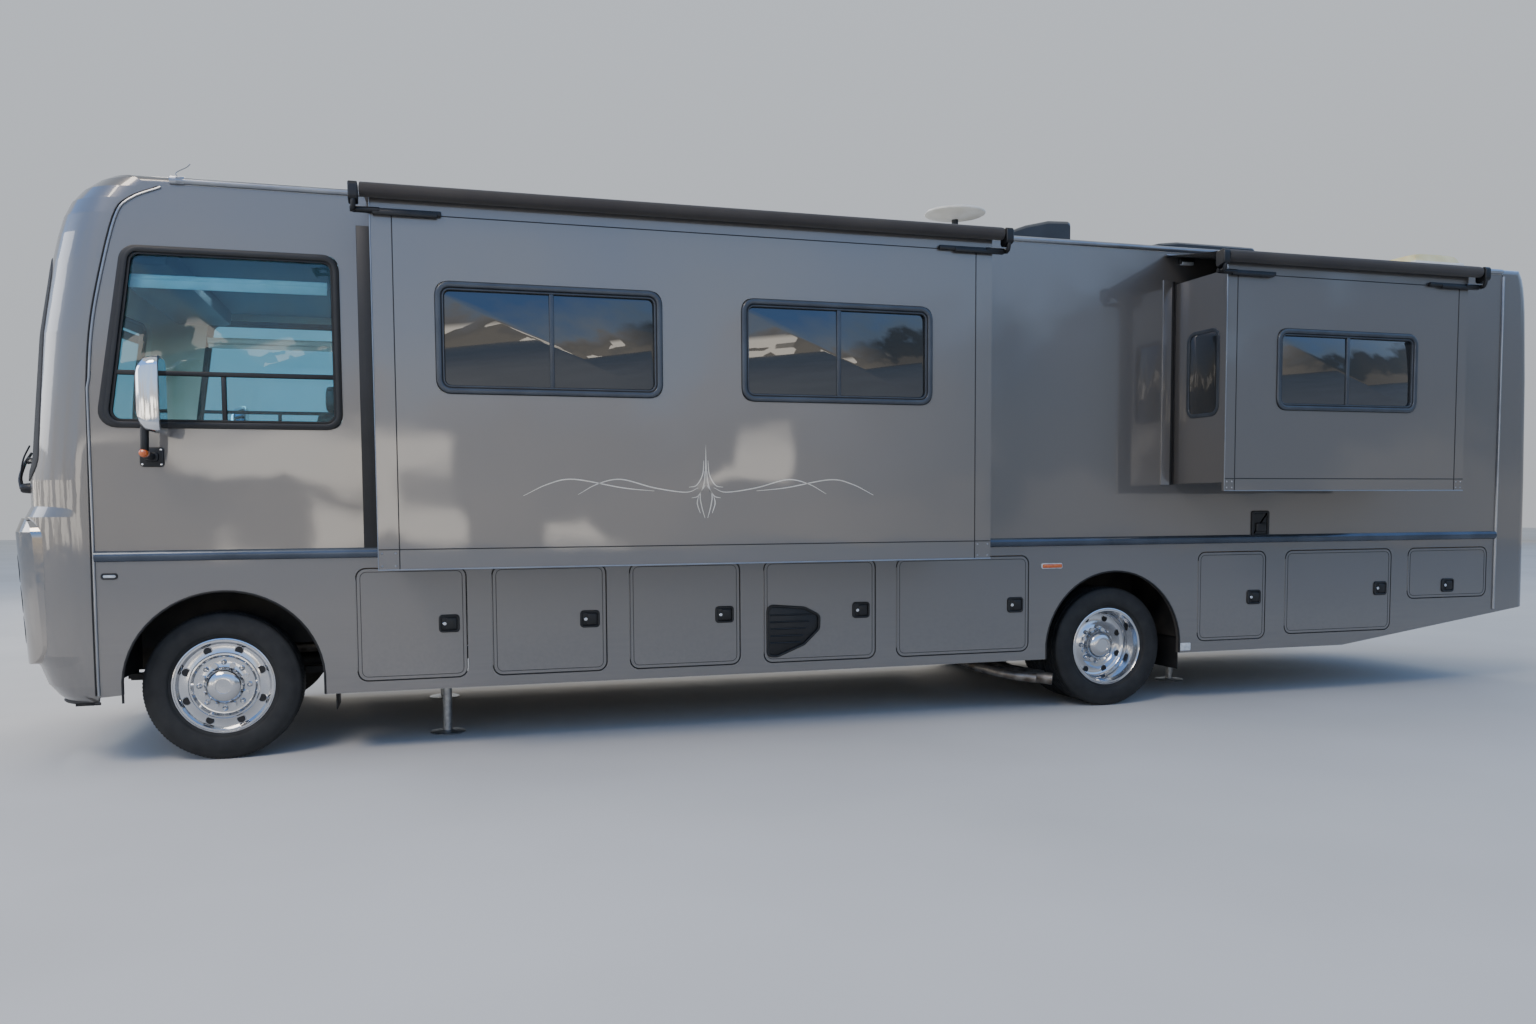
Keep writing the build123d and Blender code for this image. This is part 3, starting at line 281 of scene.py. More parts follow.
def relief(tree, shader, size_mm, depth_mm, detail=2.0, stretch=(1, 1, 1), kind="ShaderNodeTexNoise"):
    """A bump whose bumps are about size_mm apart and depth_mm high."""
    place = add(tree, "ShaderNodeTexCoord").outputs["Object"]
    place = add(tree, "ShaderNodeMapping", {"Vector": place, "Scale": stretch}).outputs[0]
    inputs = {"Vector": place, "Scale": 1000 / size_mm}
    if kind == "ShaderNodeTexNoise":
        inputs["Detail"] = detail
    pattern = add(tree, kind, inputs)
    before = shader.inputs["Normal"].links
    bump = add(tree, "ShaderNodeBump", {"Height": pattern.outputs[0], "Distance": depth_mm / 1000,
                                        "Strength": 1.0})
    if before:
        tree.links.new(before[0].from_socket, bump.inputs["Normal"])
    tree.links.new(bump.outputs[0], shader.inputs["Normal"])


def two_tone(tree, shader, one, two, size_mm, socket="Base Color"):
    """Two tones, or two roughness values, that drift into each other over size_mm."""
    place = add(tree, "ShaderNodeTexCoord").outputs["Object"]
    cloud = add(tree, "ShaderNodeTexNoise", {"Vector": place, "Scale": 1000 / size_mm, "Detail": 3.0})
    tones = add(tree, "ShaderNodeValToRGB", {"Fac": cloud.outputs[0]}, stops=[(0.35, one), (0.65, two)])
    tree.links.new(tones.outputs["Color"], shader.inputs[socket])


# %% [markdown]
# ### Metallic pewter paint
# The body is sprayed with a warm grey basecoat full of aluminium flakes, under a clear lacquer. The
# flakes make it brighten where it faces the light, the lacquer gives a sharp mirror on top, and the
# thin side panels are never quite flat, so what they mirror wobbles. Single flakes are far too small to
# model, so a fine bump of 2.5 mm grains stands for them, coarser than the real ones so that it shows.
# Road dust dulls the lowest part of the skirts.

# %% Body paint
paint, shader = finish("pewter_basecoat_lacquer", "#686664", Metallic=0.55, Roughness=0.32,
                       Coat_Weight=1.0, Coat_Roughness=0.015, Coat_IOR=1.7)
relief(paint, shader, 2.5, 0.02)
relief(paint, shader, 60, 0.03)
relief(paint, shader, 850, 4.5, detail=1.5, stretch=(1, 1, 1.5))
ripple = shader.inputs["Normal"].links[0].from_socket
paint.links.new(ripple, shader.inputs["Coat Normal"])
axes = add(paint, "ShaderNodeSeparateXYZ", {0: add(paint, "ShaderNodeTexCoord").outputs["Object"]})
dust = add(paint, "ShaderNodeMapRange", {"Value": axes.outputs["Z"], "From Min": 0.95, "From Max": 0.35,
                                         "To Min": 0.0, "To Max": 0.35}).outputs[0]
speck = add(paint, "ShaderNodeTexNoise", {"Scale": 30.0, "Detail": 4.0}).outputs[0]
dust = add(paint, "ShaderNodeMath", {0: dust, 1: speck}, operation="MULTIPLY").outputs[0]
tone = add(paint, "ShaderNodeMix", {0: dust, 6: linear("#686664"), 7: linear("#8b867f")}, data_type="RGBA")
paint.links.new(tone.outputs[2], shader.inputs["Base Color"])

# %% [markdown]
# ### Plastics, rubber and glass
# Moulded plastic has a fine grain that softens its shine. Rubber is darker and duller. The cab's glass
# has a light green-blue tint that deepens where one looks through two panes, while the side windows
# are privacy glass, nearly black. A thin flat sheet hardly bends what one sees through it, so the cab
# glass has an IOR close to 1, and its mirror comes from the coat.

# %% Plastics, rubber, glass
tree, shader = finish("black_grained_abs", "#0e0f10", Roughness=0.45)
relief(tree, shader, 1.6, 0.06)
two_tone(tree, shader, "#0c0d0e", "#151618", 140)
tree, shader = finish("smoked_roof_abs", "#23262a", Roughness=0.38)
relief(tree, shader, 2.0, 0.05)
two_tone(tree, shader, "#1e2125", "#2b2e33", 300)
tree, shader = finish("white_weathered_abs", "#dcdad2", Roughness=0.45)
relief(tree, shader, 2.0, 0.04)
two_tone(tree, shader, "#e2e0d9", "#cfccc1", 220)
tree, shader = finish("yellowed_vent_acrylic", "#d9cf9a", Roughness=0.3, Subsurface_Weight=0.2)
relief(tree, shader, 12, 0.1)
two_tone(tree, shader, "#dfd6a6", "#cfc388", 120)
tree, shader = finish("epdm_seal_rubber", "#0b0b0c", Roughness=0.62)
relief(tree, shader, 1.2, 0.05)
two_tone(tree, shader, "#0a0a0b", "#131314", 60)
tree, shader = finish("tyre_rubber", "#161718", Roughness=0.72)
relief(tree, shader, 3.0, 0.15)
two_tone(tree, shader, "#121314", "#1f2020", 90)
tree, shader = finish("privacy_glass", "#0b1013", Roughness=0.02, Coat_Weight=1.0, Coat_Roughness=0.01,
                      Alpha=0.985, Specular_IOR_Level=0.8)
relief(tree, shader, 500, 1.2, detail=1.0)
tree, shader = finish("green_tinted_cab_glass", "#a9dcec", Roughness=0.0, Transmission_Weight=1.0,
                      IOR=1.01, Coat_Weight=1.0, Coat_Roughness=0.01)
two_tone(tree, shader, "#a5d9ea", "#aedfee", 600)
tree, shader = finish("headlamp_glass", "#8fa0b2", Roughness=0.03, Coat_Weight=1.0, Coat_Roughness=0.01,
                      Alpha=0.35)
relief(tree, shader, 14, 0.6, kind="ShaderNodeTexVoronoi")
two_tone(tree, shader, "#95a6b8", "#7f90a3", 40)
for name, one, two in (("amber_lens", "#d2661a", "#b24e10"), ("red_lens", "#8e1512", "#6d0d0c"),
                       ("clear_lens", "#c9ced2", "#aab1b8")):
    tree, shader = finish(name, one, Roughness=0.12, Coat_Weight=1.0, Coat_Roughness=0.03)
    two_tone(tree, shader, one, two, 25)
    relief(tree, shader, 9, 0.8, kind="ShaderNodeTexVoronoi")

# %% [markdown]
# ### Metals
# The wheels are polished steel, the mirror heads and the grille are chromed, rails and frames are
# anodised or painted aluminium, and everything below the floor is galvanised or wears black chassis
# paint with some road dirt on it. Polished metal is told by its roughness more than by its colour, so its
# roughness drifts. On rails the relief is stretched along the length, as extrusion leaves it.

# %% Metals
tree, shader = finish("polished_wheel_steel", "#c4c6c9", Metallic=1.0, Roughness=0.13)
relief(tree, shader, 6, 0.02)
two_tone(tree, shader, 0.09, 0.2, 60, "Roughness")
tree, shader = finish("chrome_plate", "#d5d8db", Metallic=1.0, Roughness=0.05)
relief(tree, shader, 90, 0.05)
two_tone(tree, shader, 0.04, 0.09, 45, "Roughness")
tree, shader = finish("warm_bright_chrome", "#a5a09a", Metallic=1.0, Roughness=0.08)
relief(tree, shader, 90, 0.05)
two_tone(tree, shader, 0.06, 0.12, 45, "Roughness")
tree, shader = finish("anodised_rail_aluminium", "#8d9096", Metallic=0.9, Roughness=0.28)
relief(tree, shader, 1.5, 0.03, stretch=(0.05, 1, 1))
two_tone(tree, shader, "#878b92", "#9a9da1", 200)
tree, shader = finish("blue_grey_bright_rail", "#4c535d", Metallic=0.7, Roughness=0.25)
relief(tree, shader, 2.0, 0.02, stretch=(0.05, 1, 1))
two_tone(tree, shader, "#474e58", "#555d68", 300)
tree, shader = finish("blue_grey_coated_frame", "#373c43", Metallic=0.35, Roughness=0.36, Coat_Weight=0.3,
                      Coat_Roughness=0.2)
relief(tree, shader, 2.0, 0.03)
two_tone(tree, shader, "#33383f", "#3f454c", 160)
tree, shader = finish("black_coated_steel", "#131416", Metallic=0.2, Roughness=0.4)
relief(tree, shader, 3.0, 0.06)
two_tone(tree, shader, "#101113", "#1c1d1f", 80)
tree, shader = finish("dusty_chassis_paint", "#1b1b1b", Roughness=0.6)
relief(tree, shader, 6.0, 0.2)
two_tone(tree, shader, "#171717", "#302d29", 150)
tree, shader = finish("galvanised_steel", "#9a9da0", Metallic=0.85, Roughness=0.4)
relief(tree, shader, 10, 0.05, kind="ShaderNodeTexVoronoi")
two_tone(tree, shader, "#8d9194", "#a9abad", 30)
tree, shader = finish("rough_cast_iron", "#3a3836", Metallic=0.6, Roughness=0.65)
relief(tree, shader, 3.0, 0.25)
two_tone(tree, shader, "#35332f", "#4a443c", 60)
tree, shader = finish("heat_stained_steel", "#7d7770", Metallic=0.8, Roughness=0.42)
relief(tree, shader, 8, 0.1)
two_tone(tree, shader, "#8b857d", "#5f564c", 70)

# %% [markdown]
# ### Cloth, vinyl and the inside
# The awning fabric over each slide is a coarse coated weave of about 1 mm threads, drawn at 6 mm so
# that it shows. Inside, only what can be seen through the glass matters: grained vinyl seats, a
# moulded dash, pale wall board and a pleated blind.

# %% Cloth, vinyl, inside
tree, shader = finish("coated_awning_weave", "#2c2826", Roughness=0.8, Sheen_Weight=0.15)
place = add(tree, "ShaderNodeTexCoord").outputs["Object"]
warp = add(tree, "ShaderNodeTexWave", {"Vector": place, "Scale": 50.0}, bands_direction="X")
weft = add(tree, "ShaderNodeTexWave", {"Vector": place, "Scale": 50.0}, bands_direction="Y")
both = add(tree, "ShaderNodeMath", {0: warp.outputs["Fac"], 1: weft.outputs["Fac"]}, operation="MULTIPLY")
bump = add(tree, "ShaderNodeBump", {"Height": both.outputs[0], "Distance": 0.0008})
tree.links.new(bump.outputs[0], shader.inputs["Normal"])
two_tone(tree, shader, "#2a2624", "#34302c", 350)
tree, shader = finish("grained_seat_vinyl", "#3b3733", Roughness=0.5)
relief(tree, shader, 4.0, 0.3, kind="ShaderNodeTexVoronoi")
two_tone(tree, shader, "#38342f", "#453f39", 90)
tree, shader = finish("moulded_dash_vinyl", "#2b2b2d", Roughness=0.55)
relief(tree, shader, 2.5, 0.15)
two_tone(tree, shader, "#28282a", "#333335", 120)
tree, shader = finish("inside_wall_board", "#b9b1a3", Roughness=0.7)
relief(tree, shader, 8.0, 0.02)
two_tone(tree, shader, "#bbb3a6", "#aba292", 400)
tree, shader = finish("oak_floor_board", "#7a5f42", Roughness=0.45)
relief(tree, shader, 4.0, 0.1, stretch=(0.05, 1, 1))
two_tone(tree, shader, "#846747", "#6a5138", 80)
tree, shader = finish("pleated_blind_cloth", "#cfd0cb", Roughness=0.85)
relief(tree, shader, 2.0, 0.2)
two_tone(tree, shader, "#d3d4cf", "#bfc0ba", 200)
tree, shader = finish("cream_pinstripe_enamel", "#c9c6bd", Roughness=0.3, Coat_Weight=1.0,
                      Coat_Roughness=0.05)
two_tone(tree, shader, "#cfccc4", "#b9b6ac", 150)
tree, shader = finish("white_roof_membrane", "#cfcdc6", Roughness=0.6)
relief(tree, shader, 4.0, 0.2)
two_tone(tree, shader, "#d3d1cb", "#b7b3a8", 700)
tree, shader = finish("pale_studio_floor", "#c9c8c5", Roughness=0.75, Specular_IOR_Level=0.0)
relief(tree, shader, 60, 0.2)
two_tone(tree, shader, "#cccbc8", "#c3c2bf", 2500)
floor.data.materials.append(finishes["pale_studio_floor"])
print(len(finishes), "finishes")

# %% [markdown]
# ## Dress the CAD nodes
# Most of the coach's shape is right as it comes. Each node gets its finish, and its rounded faces are
# shaded smooth while true edges stay sharp. The walls' inner faces get pale board, so that the inside
# doesn't look sprayed. They could be separate pieces, but which way a face looks already tells them apart.

# %% Finishes of the CAD nodes
finish_nodes = {
    "pewter_basecoat_lacquer": ("front_cap", "rear_cap", "left_wall", "right_wall", "left_skirt",
                                "right_skirt", "main_slide_room", "bedroom_slide_room", "entry_door"),
    "dusty_chassis_paint": ("wheel_wells", "chassis_frame", "frame_fittings", "front_axle", "rear_axle",
                            "fuel_tank"),
    "blue_grey_coated_frame": ("side_windows", "main_slide_windows", "bedroom_slide_windows"),
    "blue_grey_bright_rail": ("belt_mouldings",), "white_roof_membrane": ("roof",),
    "green_tinted_cab_glass": ("windshield",), "clear_lens": ("lamps",), "warm_bright_chrome": ("grille",),
    "chrome_plate": ("mirrors",), "smoked_roof_abs": ("air_conditioners",),
    "white_weathered_abs": ("roof_fittings",), "black_coated_steel": ("patio_awning",),
    "moulded_dash_vinyl": ("dash",), "grained_seat_vinyl": ("cab_seats",),
    "oak_floor_board": ("cabin_floor",), "rough_cast_iron": ("engine_block",),
    "heat_stained_steel": ("exhaust",),
}
node_finish = {name: chosen for chosen, names in finish_nodes.items() for name in names}
word_finish = {"bay_door": "pewter_basecoat_lacquer", "tyre": "tyre_rubber", "wheel": "polished_wheel_steel",
               "fabric": "coated_awning_weave", "topper": "black_coated_steel", "knuckle": "rough_cast_iron"}
for name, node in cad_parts.items():
    by_word = [value for word, value in word_finish.items() if word in name] + ["galvanised_steel"]
    chosen = node_finish.get(name, by_word[0])
    node.data.materials.clear()
    node.data.materials.append(finishes[chosen])
    node.data.shade_smooth()
    node.data.set_sharp_from_angle(angle=math.radians(28))

centre = at(-4.2, 0, 2.1)
for name in ("left_wall", "right_wall", "front_cap", "rear_cap", "roof", "main_slide_room",
             "bedroom_slide_room"):
    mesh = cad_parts[name].data
    mesh.materials.append(finishes["inside_wall_board"])
    for face in mesh.polygons:
        inward = face.normal.dot(centre - face.center) > 0
        deep = abs(face.center.y - MID_Y) < HALF - 0.02 or "slide" in name
        side = abs(face.normal.x) < 0.5 or "cap" in name
        outer = face.center.y - MID_Y > FACE - 0.02
        face.material_index = int(inward and deep and side and not outer)
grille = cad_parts["grille"].data
grille.materials.append(finishes["black_grained_abs"])
for face in grille.polygons:
    behind_bars = face.center.x < AXLE_X + 0.945 and abs(face.center.y - MID_Y) < 0.705
    face.material_index = int(behind_bars)
print(len(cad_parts), "nodes dressed")

# %% [markdown]
# ## Small shape tools
# Nearly everything added here is a plate, a frame, a tube or a turned part. Each tool below writes
# straight into a mesh, from an outline in two dimensions and a rule that says where it lies. Modifiers
# could do the same, but plain rings of points give exact sizes and bend over the curved nose as well.

# %% Outlines
def rounded(points, radius, steps=5):
    """A polygon with its corners rounded."""
    made = []
    for i, point in enumerate(points):
        here, before, after = Vector(point), Vector(points[i - 1]), Vector(points[(i + 1) % len(points)])
        u, v = (before - here), (after - here)
        wide = u.angle(v)
        reach = min(radius / math.tan(wide / 2), 0.48 * u.length, 0.48 * v.length)
        r = reach * math.tan(wide / 2)
        u, v = u.normalized(), v.normalized()
        centre = here + (u + v).normalized() * r / math.sin(wide / 2)
        first, last = here + u * reach - centre, here + v * reach - centre
        swing = math.pi - wide
        for k in range(steps + 1):
            t = k / steps
            way = (first * math.sin((1 - t) * swing) + last * math.sin(t * swing)) / math.sin(swing)
            made.append(tuple(centre + way))
    return made


def oblong(rear, front, low, high):
    """The corners of an upright rectangle on a side of the coach."""
    return [(front, low), (rear, low), (rear, high), (front, high)]


def rectangle(left, right, low, high):
    """The corners of a rectangle from its left side on."""
    return [(left, low), (right, low), (right, high), (left, high)]


def circle(radius, steps):
    """Points evenly round a circle."""
    turns = [2 * math.pi * k / steps for k in range(steps)]
    return [(radius * math.cos(w), radius * math.sin(w)) for w in turns]


def inset(outline, distance):
    """The outline moved inwards by a distance."""
    count = len(outline)
    area = sum(outline[i - 1][0] * outline[i][1] - outline[i][0] * outline[i - 1][1] for i in range(count))
    sign = 1 if area > 0 else -1
    made = []
    for i in range(count):
        here, before, after = Vector(outline[i]), Vector(outline[i - 1]), Vector(outline[(i + 1) % count])
        one, two = (here - before).normalized(), (after - here).normalized()
        normal = Vector((-(one.y + two.y), one.x + two.x)).normalized() * sign
        slant = max(0.3, normal.dot(Vector((-one.y, one.x)) * sign))
        made.append(tuple(here + normal * distance / slant))
    return made


# %% [markdown]
# ### Solids from outlines
# A sheet part is cut from an outline, a bar is drawn along a line, and a turned part is cut on a lathe.
# All of them are rings of points joined by faces, so one skin does the joining for every tool.

# %% Solids from outlines
def skin(bm, rings, capped=True, looped=False):
    """Join rings of points, each with as many points, into a surface."""
    rows = [[bm.verts.new(p) for p in ring] for ring in rings]
    pairs = list(zip(rows, rows[1:])) + ([(rows[-1], rows[0])] if looped else [])
    for one, two in pairs:
        for i in range(len(one)):
            j = (i + 1) % len(one)
            bm.faces.new((one[i], one[j], two[j], two[i]))
    if capped and not looped:
        bm.faces.new(rows[0])
        bm.faces.new(rows[-1])


def plate(bm, outline, place, low, high, edge=0.002):
    """A plate between two depths, with its front edge eased."""
    rings = [(outline, low), (outline, high - edge), (inset(outline, edge * 0.4), high - edge * 0.3),
             (inset(outline, edge), high)]
    skin(bm, [[place(a, b, c) for a, b in ring] for ring, c in rings])


def collar(bm, outline, width, place, low, high, edge=0.002):
    """A frame of a given width, with eased front edges."""
    rings = [(outline, low), (outline, high - edge), (inset(outline, edge * 0.4), high - edge * 0.3),
             (inset(outline, edge), high), (inset(outline, width - edge), high),
             (inset(outline, width - edge * 0.4), high - edge * 0.3), (inset(outline, width), high - edge),
             (inset(outline, width), low)]
    skin(bm, [[place(a, b, c) for a, b in ring] for ring, c in rings], looped=True)


def tube(bm, points, radius, sides=10, closed=False):
    """A round bar along a line of points."""
    points = [Vector(p) for p in points]
    count = len(points)
    rings = []
    normal = None
    for i, point in enumerate(points):
        if closed:
            along = (points[(i + 1) % count] - points[i - 1]).normalized()
        else:
            along = (points[min(i + 1, count - 1)] - points[max(i - 1, 0)]).normalized()
        if normal is None:
            normal = along.orthogonal().normalized()
        normal = (normal - along * normal.dot(along)).normalized()
        other = along.cross(normal)
        r = radius[i] if isinstance(radius, (list, tuple)) else radius
        rings.append([point + (normal * math.cos(w) + other * math.sin(w)) * r
                      for w in (2 * math.pi * k / sides for k in range(sides))])
    skin(bm, rings, looped=closed)


def turned(bm, profile, place, steps):
    """A turned part: the profile's radius and depth, carried round by a rule for radius, angle, depth."""
    rings = [[place(r, 2 * math.pi * k / steps, t) for k in range(steps)] for r, t in profile]
    skin(bm, rings, capped=False)


def about(place, a, b):
    """The rule for a part that is turned about the point a, b of a surface."""
    return lambda r, w, t: place(a + r * math.cos(w), b + r * math.sin(w), t)


def crosswise(x, way=1):
    """A surface across the coach at x: leftwards, up, and forward, or rearward where way is -1."""
    return lambda a, b, c: at(x + way * c, a, b)


def join_grid(bm, grid):
    """Join a grid of points into an open sheet."""
    rows = [[bm.verts.new(p) for p in row] for row in grid]
    for one, two in zip(rows, rows[1:]):
        for j in range(len(one) - 1):
            bm.faces.new((one[j], two[j], two[j + 1], one[j + 1]))


def brick(bm, low, high, radius):
    """A block with rounded edges between two corners of the coach."""
    part = bmesh.new()
    bmesh.ops.create_cube(part, size=1)
    low, high = Vector(low), Vector(high)
    size, centre = high - low, (high + low) / 2
    for v in part.verts:
        v.co = Vector(v.co[k] * size[k] + centre[k] for k in range(3))
        v.co = at(*v.co)
    bmesh.ops.bevel(part, geom=part.edges[:], offset=radius, segments=2, affect="EDGES", profile=0.5)
    hold = bpy.data.meshes.new("hold")
    part.to_mesh(hold)
    part.free()
    bm.from_mesh(hold)
    bpy.data.meshes.remove(hold)


def smooth_line(points, steps=8):
    """A smooth line through a few points."""
    points = [Vector(p) for p in points]
    ends = [points[0] * 2 - points[1]] + points + [points[-1] * 2 - points[-2]]
    made = []
    for a, b, c, d in zip(ends, ends[1:], ends[2:], ends[3:]):
        for k in range(steps):
            t = k / steps
            made.append(0.5 * ((2 * b) + (c - a) * t + (2 * a - 5 * b + 4 * c - d) * t ** 2
                               + (3 * b - a - 3 * c + d) * t ** 3))
    return made + [points[-1]]


# %% [markdown]
# ### A finished piece
# A drawn mesh becomes a piece when it gets its finish, its smooth shading, and the body that it moves
# with. Edges sharper than 35 degrees stay crisp, as a machined edge does.

# %% Finish a piece
def piece(name, bm, body, finish_name, replaces=(), sharp=35):
    """Turn the drawn mesh into a piece that rides on a body."""
    bmesh.ops.recalc_face_normals(bm, faces=bm.faces)
    mesh = bpy.data.meshes.new(name)
    bm.to_mesh(mesh)
    bm.free()
    mesh.materials.append(finishes[finish_name])
    mesh.shade_smooth()
    mesh.set_sharp_from_angle(angle=math.radians(sharp))
    obj = bpy.data.objects.new(name, mesh)
    bpy.context.scene.collection.objects.link(obj)
    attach(obj, body)
    if replaces:
        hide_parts(*replaces)
    print(name, len(mesh.polygons), "faces")
    return obj


# %% [markdown]
# ## Windows
# A coach window is an aluminium frame clamped through the wall, with a rounded lip, a rubber gasket
# and a sliding pane that overlaps behind a thin upright. Each could be modelled on its own, but all are
# built alike, so one recipe draws frame, gasket and pane from an outline. The cab window slopes with the
# front and has a bar across, with small sliders below it.

# %% Window recipe
FRAME, SASH, BAR = 0.030, 0.009, 0.013


def window(name, body, outline, place, glass, uprights, bars=(), replaces=()):
    """Frame, gasket, bars and pane of one window. The pane's face lies 12 mm behind the skin."""
    frame_bm = bmesh.new()
    collar(frame_bm, outline, FRAME, place, -0.030, 0.012, edge=0.006)
    collar(frame_bm, inset(outline, 0.034), SASH, place, -0.020, 0.002, edge=0.002)
    for x, low, high in uprights:
        plate(frame_bm, oblong(x - BAR, x + BAR, low, high), place, -0.019, -0.001, 0.004)
    for z, rear, front in bars:
        plate(frame_bm, oblong(rear, front, z - BAR, z + BAR), place, -0.019, 0.001, 0.004)
    seal_bm = bmesh.new()
    collar(seal_bm, inset(outline, 0.0295), 0.007, place, -0.022, 0.004, edge=0.003)
    collar(seal_bm, inset(outline, -0.003), 0.004, place, -0.002, 0.004, edge=0.002)
    pane_bm = bmesh.new()
    plate(pane_bm, inset(outline, 0.036), place, -0.017, -0.012, 0.0005)
    if "cab" in name:
        flange = rounded([(0.568, 1.884), (-0.692, 1.884), (-0.692, 2.870), (0.414, 2.870)], 0.088, 6)
        collar(frame_bm, flange, 0.036, place, -0.001, 0.0115, edge=0.004)
    colour = "black_grained_abs" if "cab" in name else "blue_grey_coated_frame"
    piece(name + "_frame", frame_bm, body, colour, replaces=replaces)
    piece(name + "_gasket", seal_bm, body, "epdm_seal_rubber")
    piece(name + "_pane", pane_bm, body, glass)


# %% All windows
cab_outline = rounded([(0.540, 1.890), (-0.688, 1.890), (-0.688, 2.866), (0.400, 2.866)], 0.085, 6)
for side, place in (("left", on_left), ("right", on_right)):
    window(f"cab_window_{side}", "root", cab_outline, place, "green_tinted_cab_glass",
           [(-0.073, 1.925, 2.172)], [(2.185, -0.655, 0.478)],
           replaces=("side_windows",) if side == "left" else ())
windows = [
    ("main_window_front", "main_slide", on_face, -2.427, -1.205, 2.048, 2.640, ("main_slide_windows",)),
    ("main_window_rear", "main_slide", on_face, -4.079, -2.890, 2.042, 2.626, ()),
    ("bedroom_window", "bedroom_slide", on_face, -7.746, -6.580, 2.062, 2.600, ("bedroom_slide_windows",)),
    ("galley_window", "root", on_right, -4.400, -3.200, 2.060, 2.630, ()),
    ("wardrobe_window", "root", on_right, -7.770, -6.550, 2.060, 2.600, ()),
]
for name, body, place, rear, front, low, high, replaces in windows:
    halfway = (rear + front) / 2
    window(name, body, rounded(oblong(rear, front, low, high), 0.075, 6), place, "privacy_glass",
           [(halfway, low + 0.03, high - 0.03)], replaces=replaces)
print("7 windows")

# %% [markdown]
# ## Slide-out rooms
# Each room's outer face is framed by wide flat mouldings, mitred into little square blocks at the
# bottom corners. A fine dark joint runs along their inner edges, and only the outer corners catch the
# light. The joints are thin rubber lines laid on the face, since a real gap of 1 mm would vanish at this
# distance. A black flange on the wall shows behind the front edge. On the large room it reaches 100 mm
# forward: part of it is the flange, and the rest is painted shadow of the room on the wall.

# %% Mouldings on the slide faces
rooms = {"main_slide": (-4.476, -0.888, 1.110, 3.075), "bedroom_slide": (-8.180, -6.180, 1.525, 3.040)}
# width of the border, how far the wall flange reaches forward, and its finish
trim = {"main_slide": (0.108, 0.100, "black_grained_abs"),
        "bedroom_slide": (0.080, 0.050, "pewter_basecoat_lacquer")}
for name, (rear, front, low, high) in rooms.items():
    band, reach, flange_finish = trim[name]
    joints = bmesh.new()
    for x in (rear + band, front - band):
        tube(joints, [on_face(x, low + 0.002, 0.0), on_face(x, high - 0.08, 0.0)], 0.0030, 6)
    for z in (low + band, high - 0.098):
        tube(joints, [on_face(rear + 0.002, z, 0.0), on_face(front - 0.002, z, 0.0)], 0.0030, 6)
    piece(name + "_moulding_joints", joints, name, "epdm_seal_rubber")
    edges = bmesh.new()
    tube(edges, [on_face(rear, low, 0), on_face(front, low, 0), on_face(front, high, 0)], 0.004, 6)
    piece(name + "_moulding_edges", edges, name, "anodised_rail_aluminium")
    screws = bmesh.new()
    for x in (rear + 0.02, rear + band - 0.02, front - band + 0.02, front - 0.02):
        for z in (low + 0.02, low + band - 0.02):
            turned(screws, [(0.0, 0.003), (0.004, 0.0025), (0.006, 0.0)], about(on_face, x, z), 12)
    piece(name + "_block_screws", screws, name, "anodised_rail_aluminium")
    # on the large room the black flange is partly the real flange and partly painted shadow of the room on
    # the wall
    flange = bmesh.new()
    foot = low + 0.05
    plate(flange, oblong(front - 0.042, front + reach, foot, high - 0.03), on_left, -0.001, 0.008, 0.003)
    piece(name + "_wall_flange", flange, "root", flange_finish)
    lip = bmesh.new()
    plate(lip, oblong(front - 0.0415, front - 0.020, foot, high - 0.04), on_left, -0.001, 0.0095, 0.003)
    piece(name + "_wall_seal", lip, "root", "epdm_seal_rubber")

# %% [markdown]
# ### Painted scroll
# Each stroke is pulled in cream enamel with a long brush, so it swells and thins. A picture could be laid
# on the wall instead, but thin ribbons of real faces stay sharp at any distance. One half is drawn, and
# the other is its mirror image.

# %% Scroll on the large room
centre_x = -2.673
strokes = [
    [(0.045, 1.545), (0.12, 1.520), (0.30, 1.545), (0.488, 1.592), (0.62, 1.566), (0.728, 1.508)],
    [(0.30, 1.527), (0.48, 1.545), (0.749, 1.592), (0.89, 1.566), (1.027, 1.501)],
    [(0.012, 1.700), (0.020, 1.620), (0.055, 1.560), (0.100, 1.548)],
    [(0.006, 1.640), (0.014, 1.560), (0.045, 1.500), (0.085, 1.487)],
    [(0.006, 1.560), (0.034, 1.505), (0.028, 1.445), (0.008, 1.372)],
    [(0.045, 1.497), (0.052, 1.455), (0.035, 1.400)],
]
PAINT_PROUD = 0.0012
scroll = bmesh.new()
for side in (1, -1):
    for stroke in strokes:
        line = smooth_line([(centre_x + side * x, z) for x, z in stroke], 8)
        last = len(line) - 1
        for i in range(last):
            here, there = line[i], line[i + 1]
            across = Vector((-(there - here).y, (there - here).x)).normalized()
            widths = [0.0030 * math.sin(math.pi * (0.12 + 0.76 * k / last)) for k in (i, i + 1)]
            corners = [here + across * widths[0], here - across * widths[0], there - across * widths[1],
                       there + across * widths[1]]
            scroll.faces.new([scroll.verts.new(on_face(p.x, p.y, PAINT_PROUD)) for p in corners])
spear = [(0.0, 1.795), (0.004, 1.66), (0.0, 1.56), (-0.004, 1.66)]
scroll.faces.new([scroll.verts.new(on_face(centre_x + a, b, PAINT_PROUD)) for a, b in spear])
piece("painted_scroll", scroll, "main_slide", "cream_pinstripe_enamel")
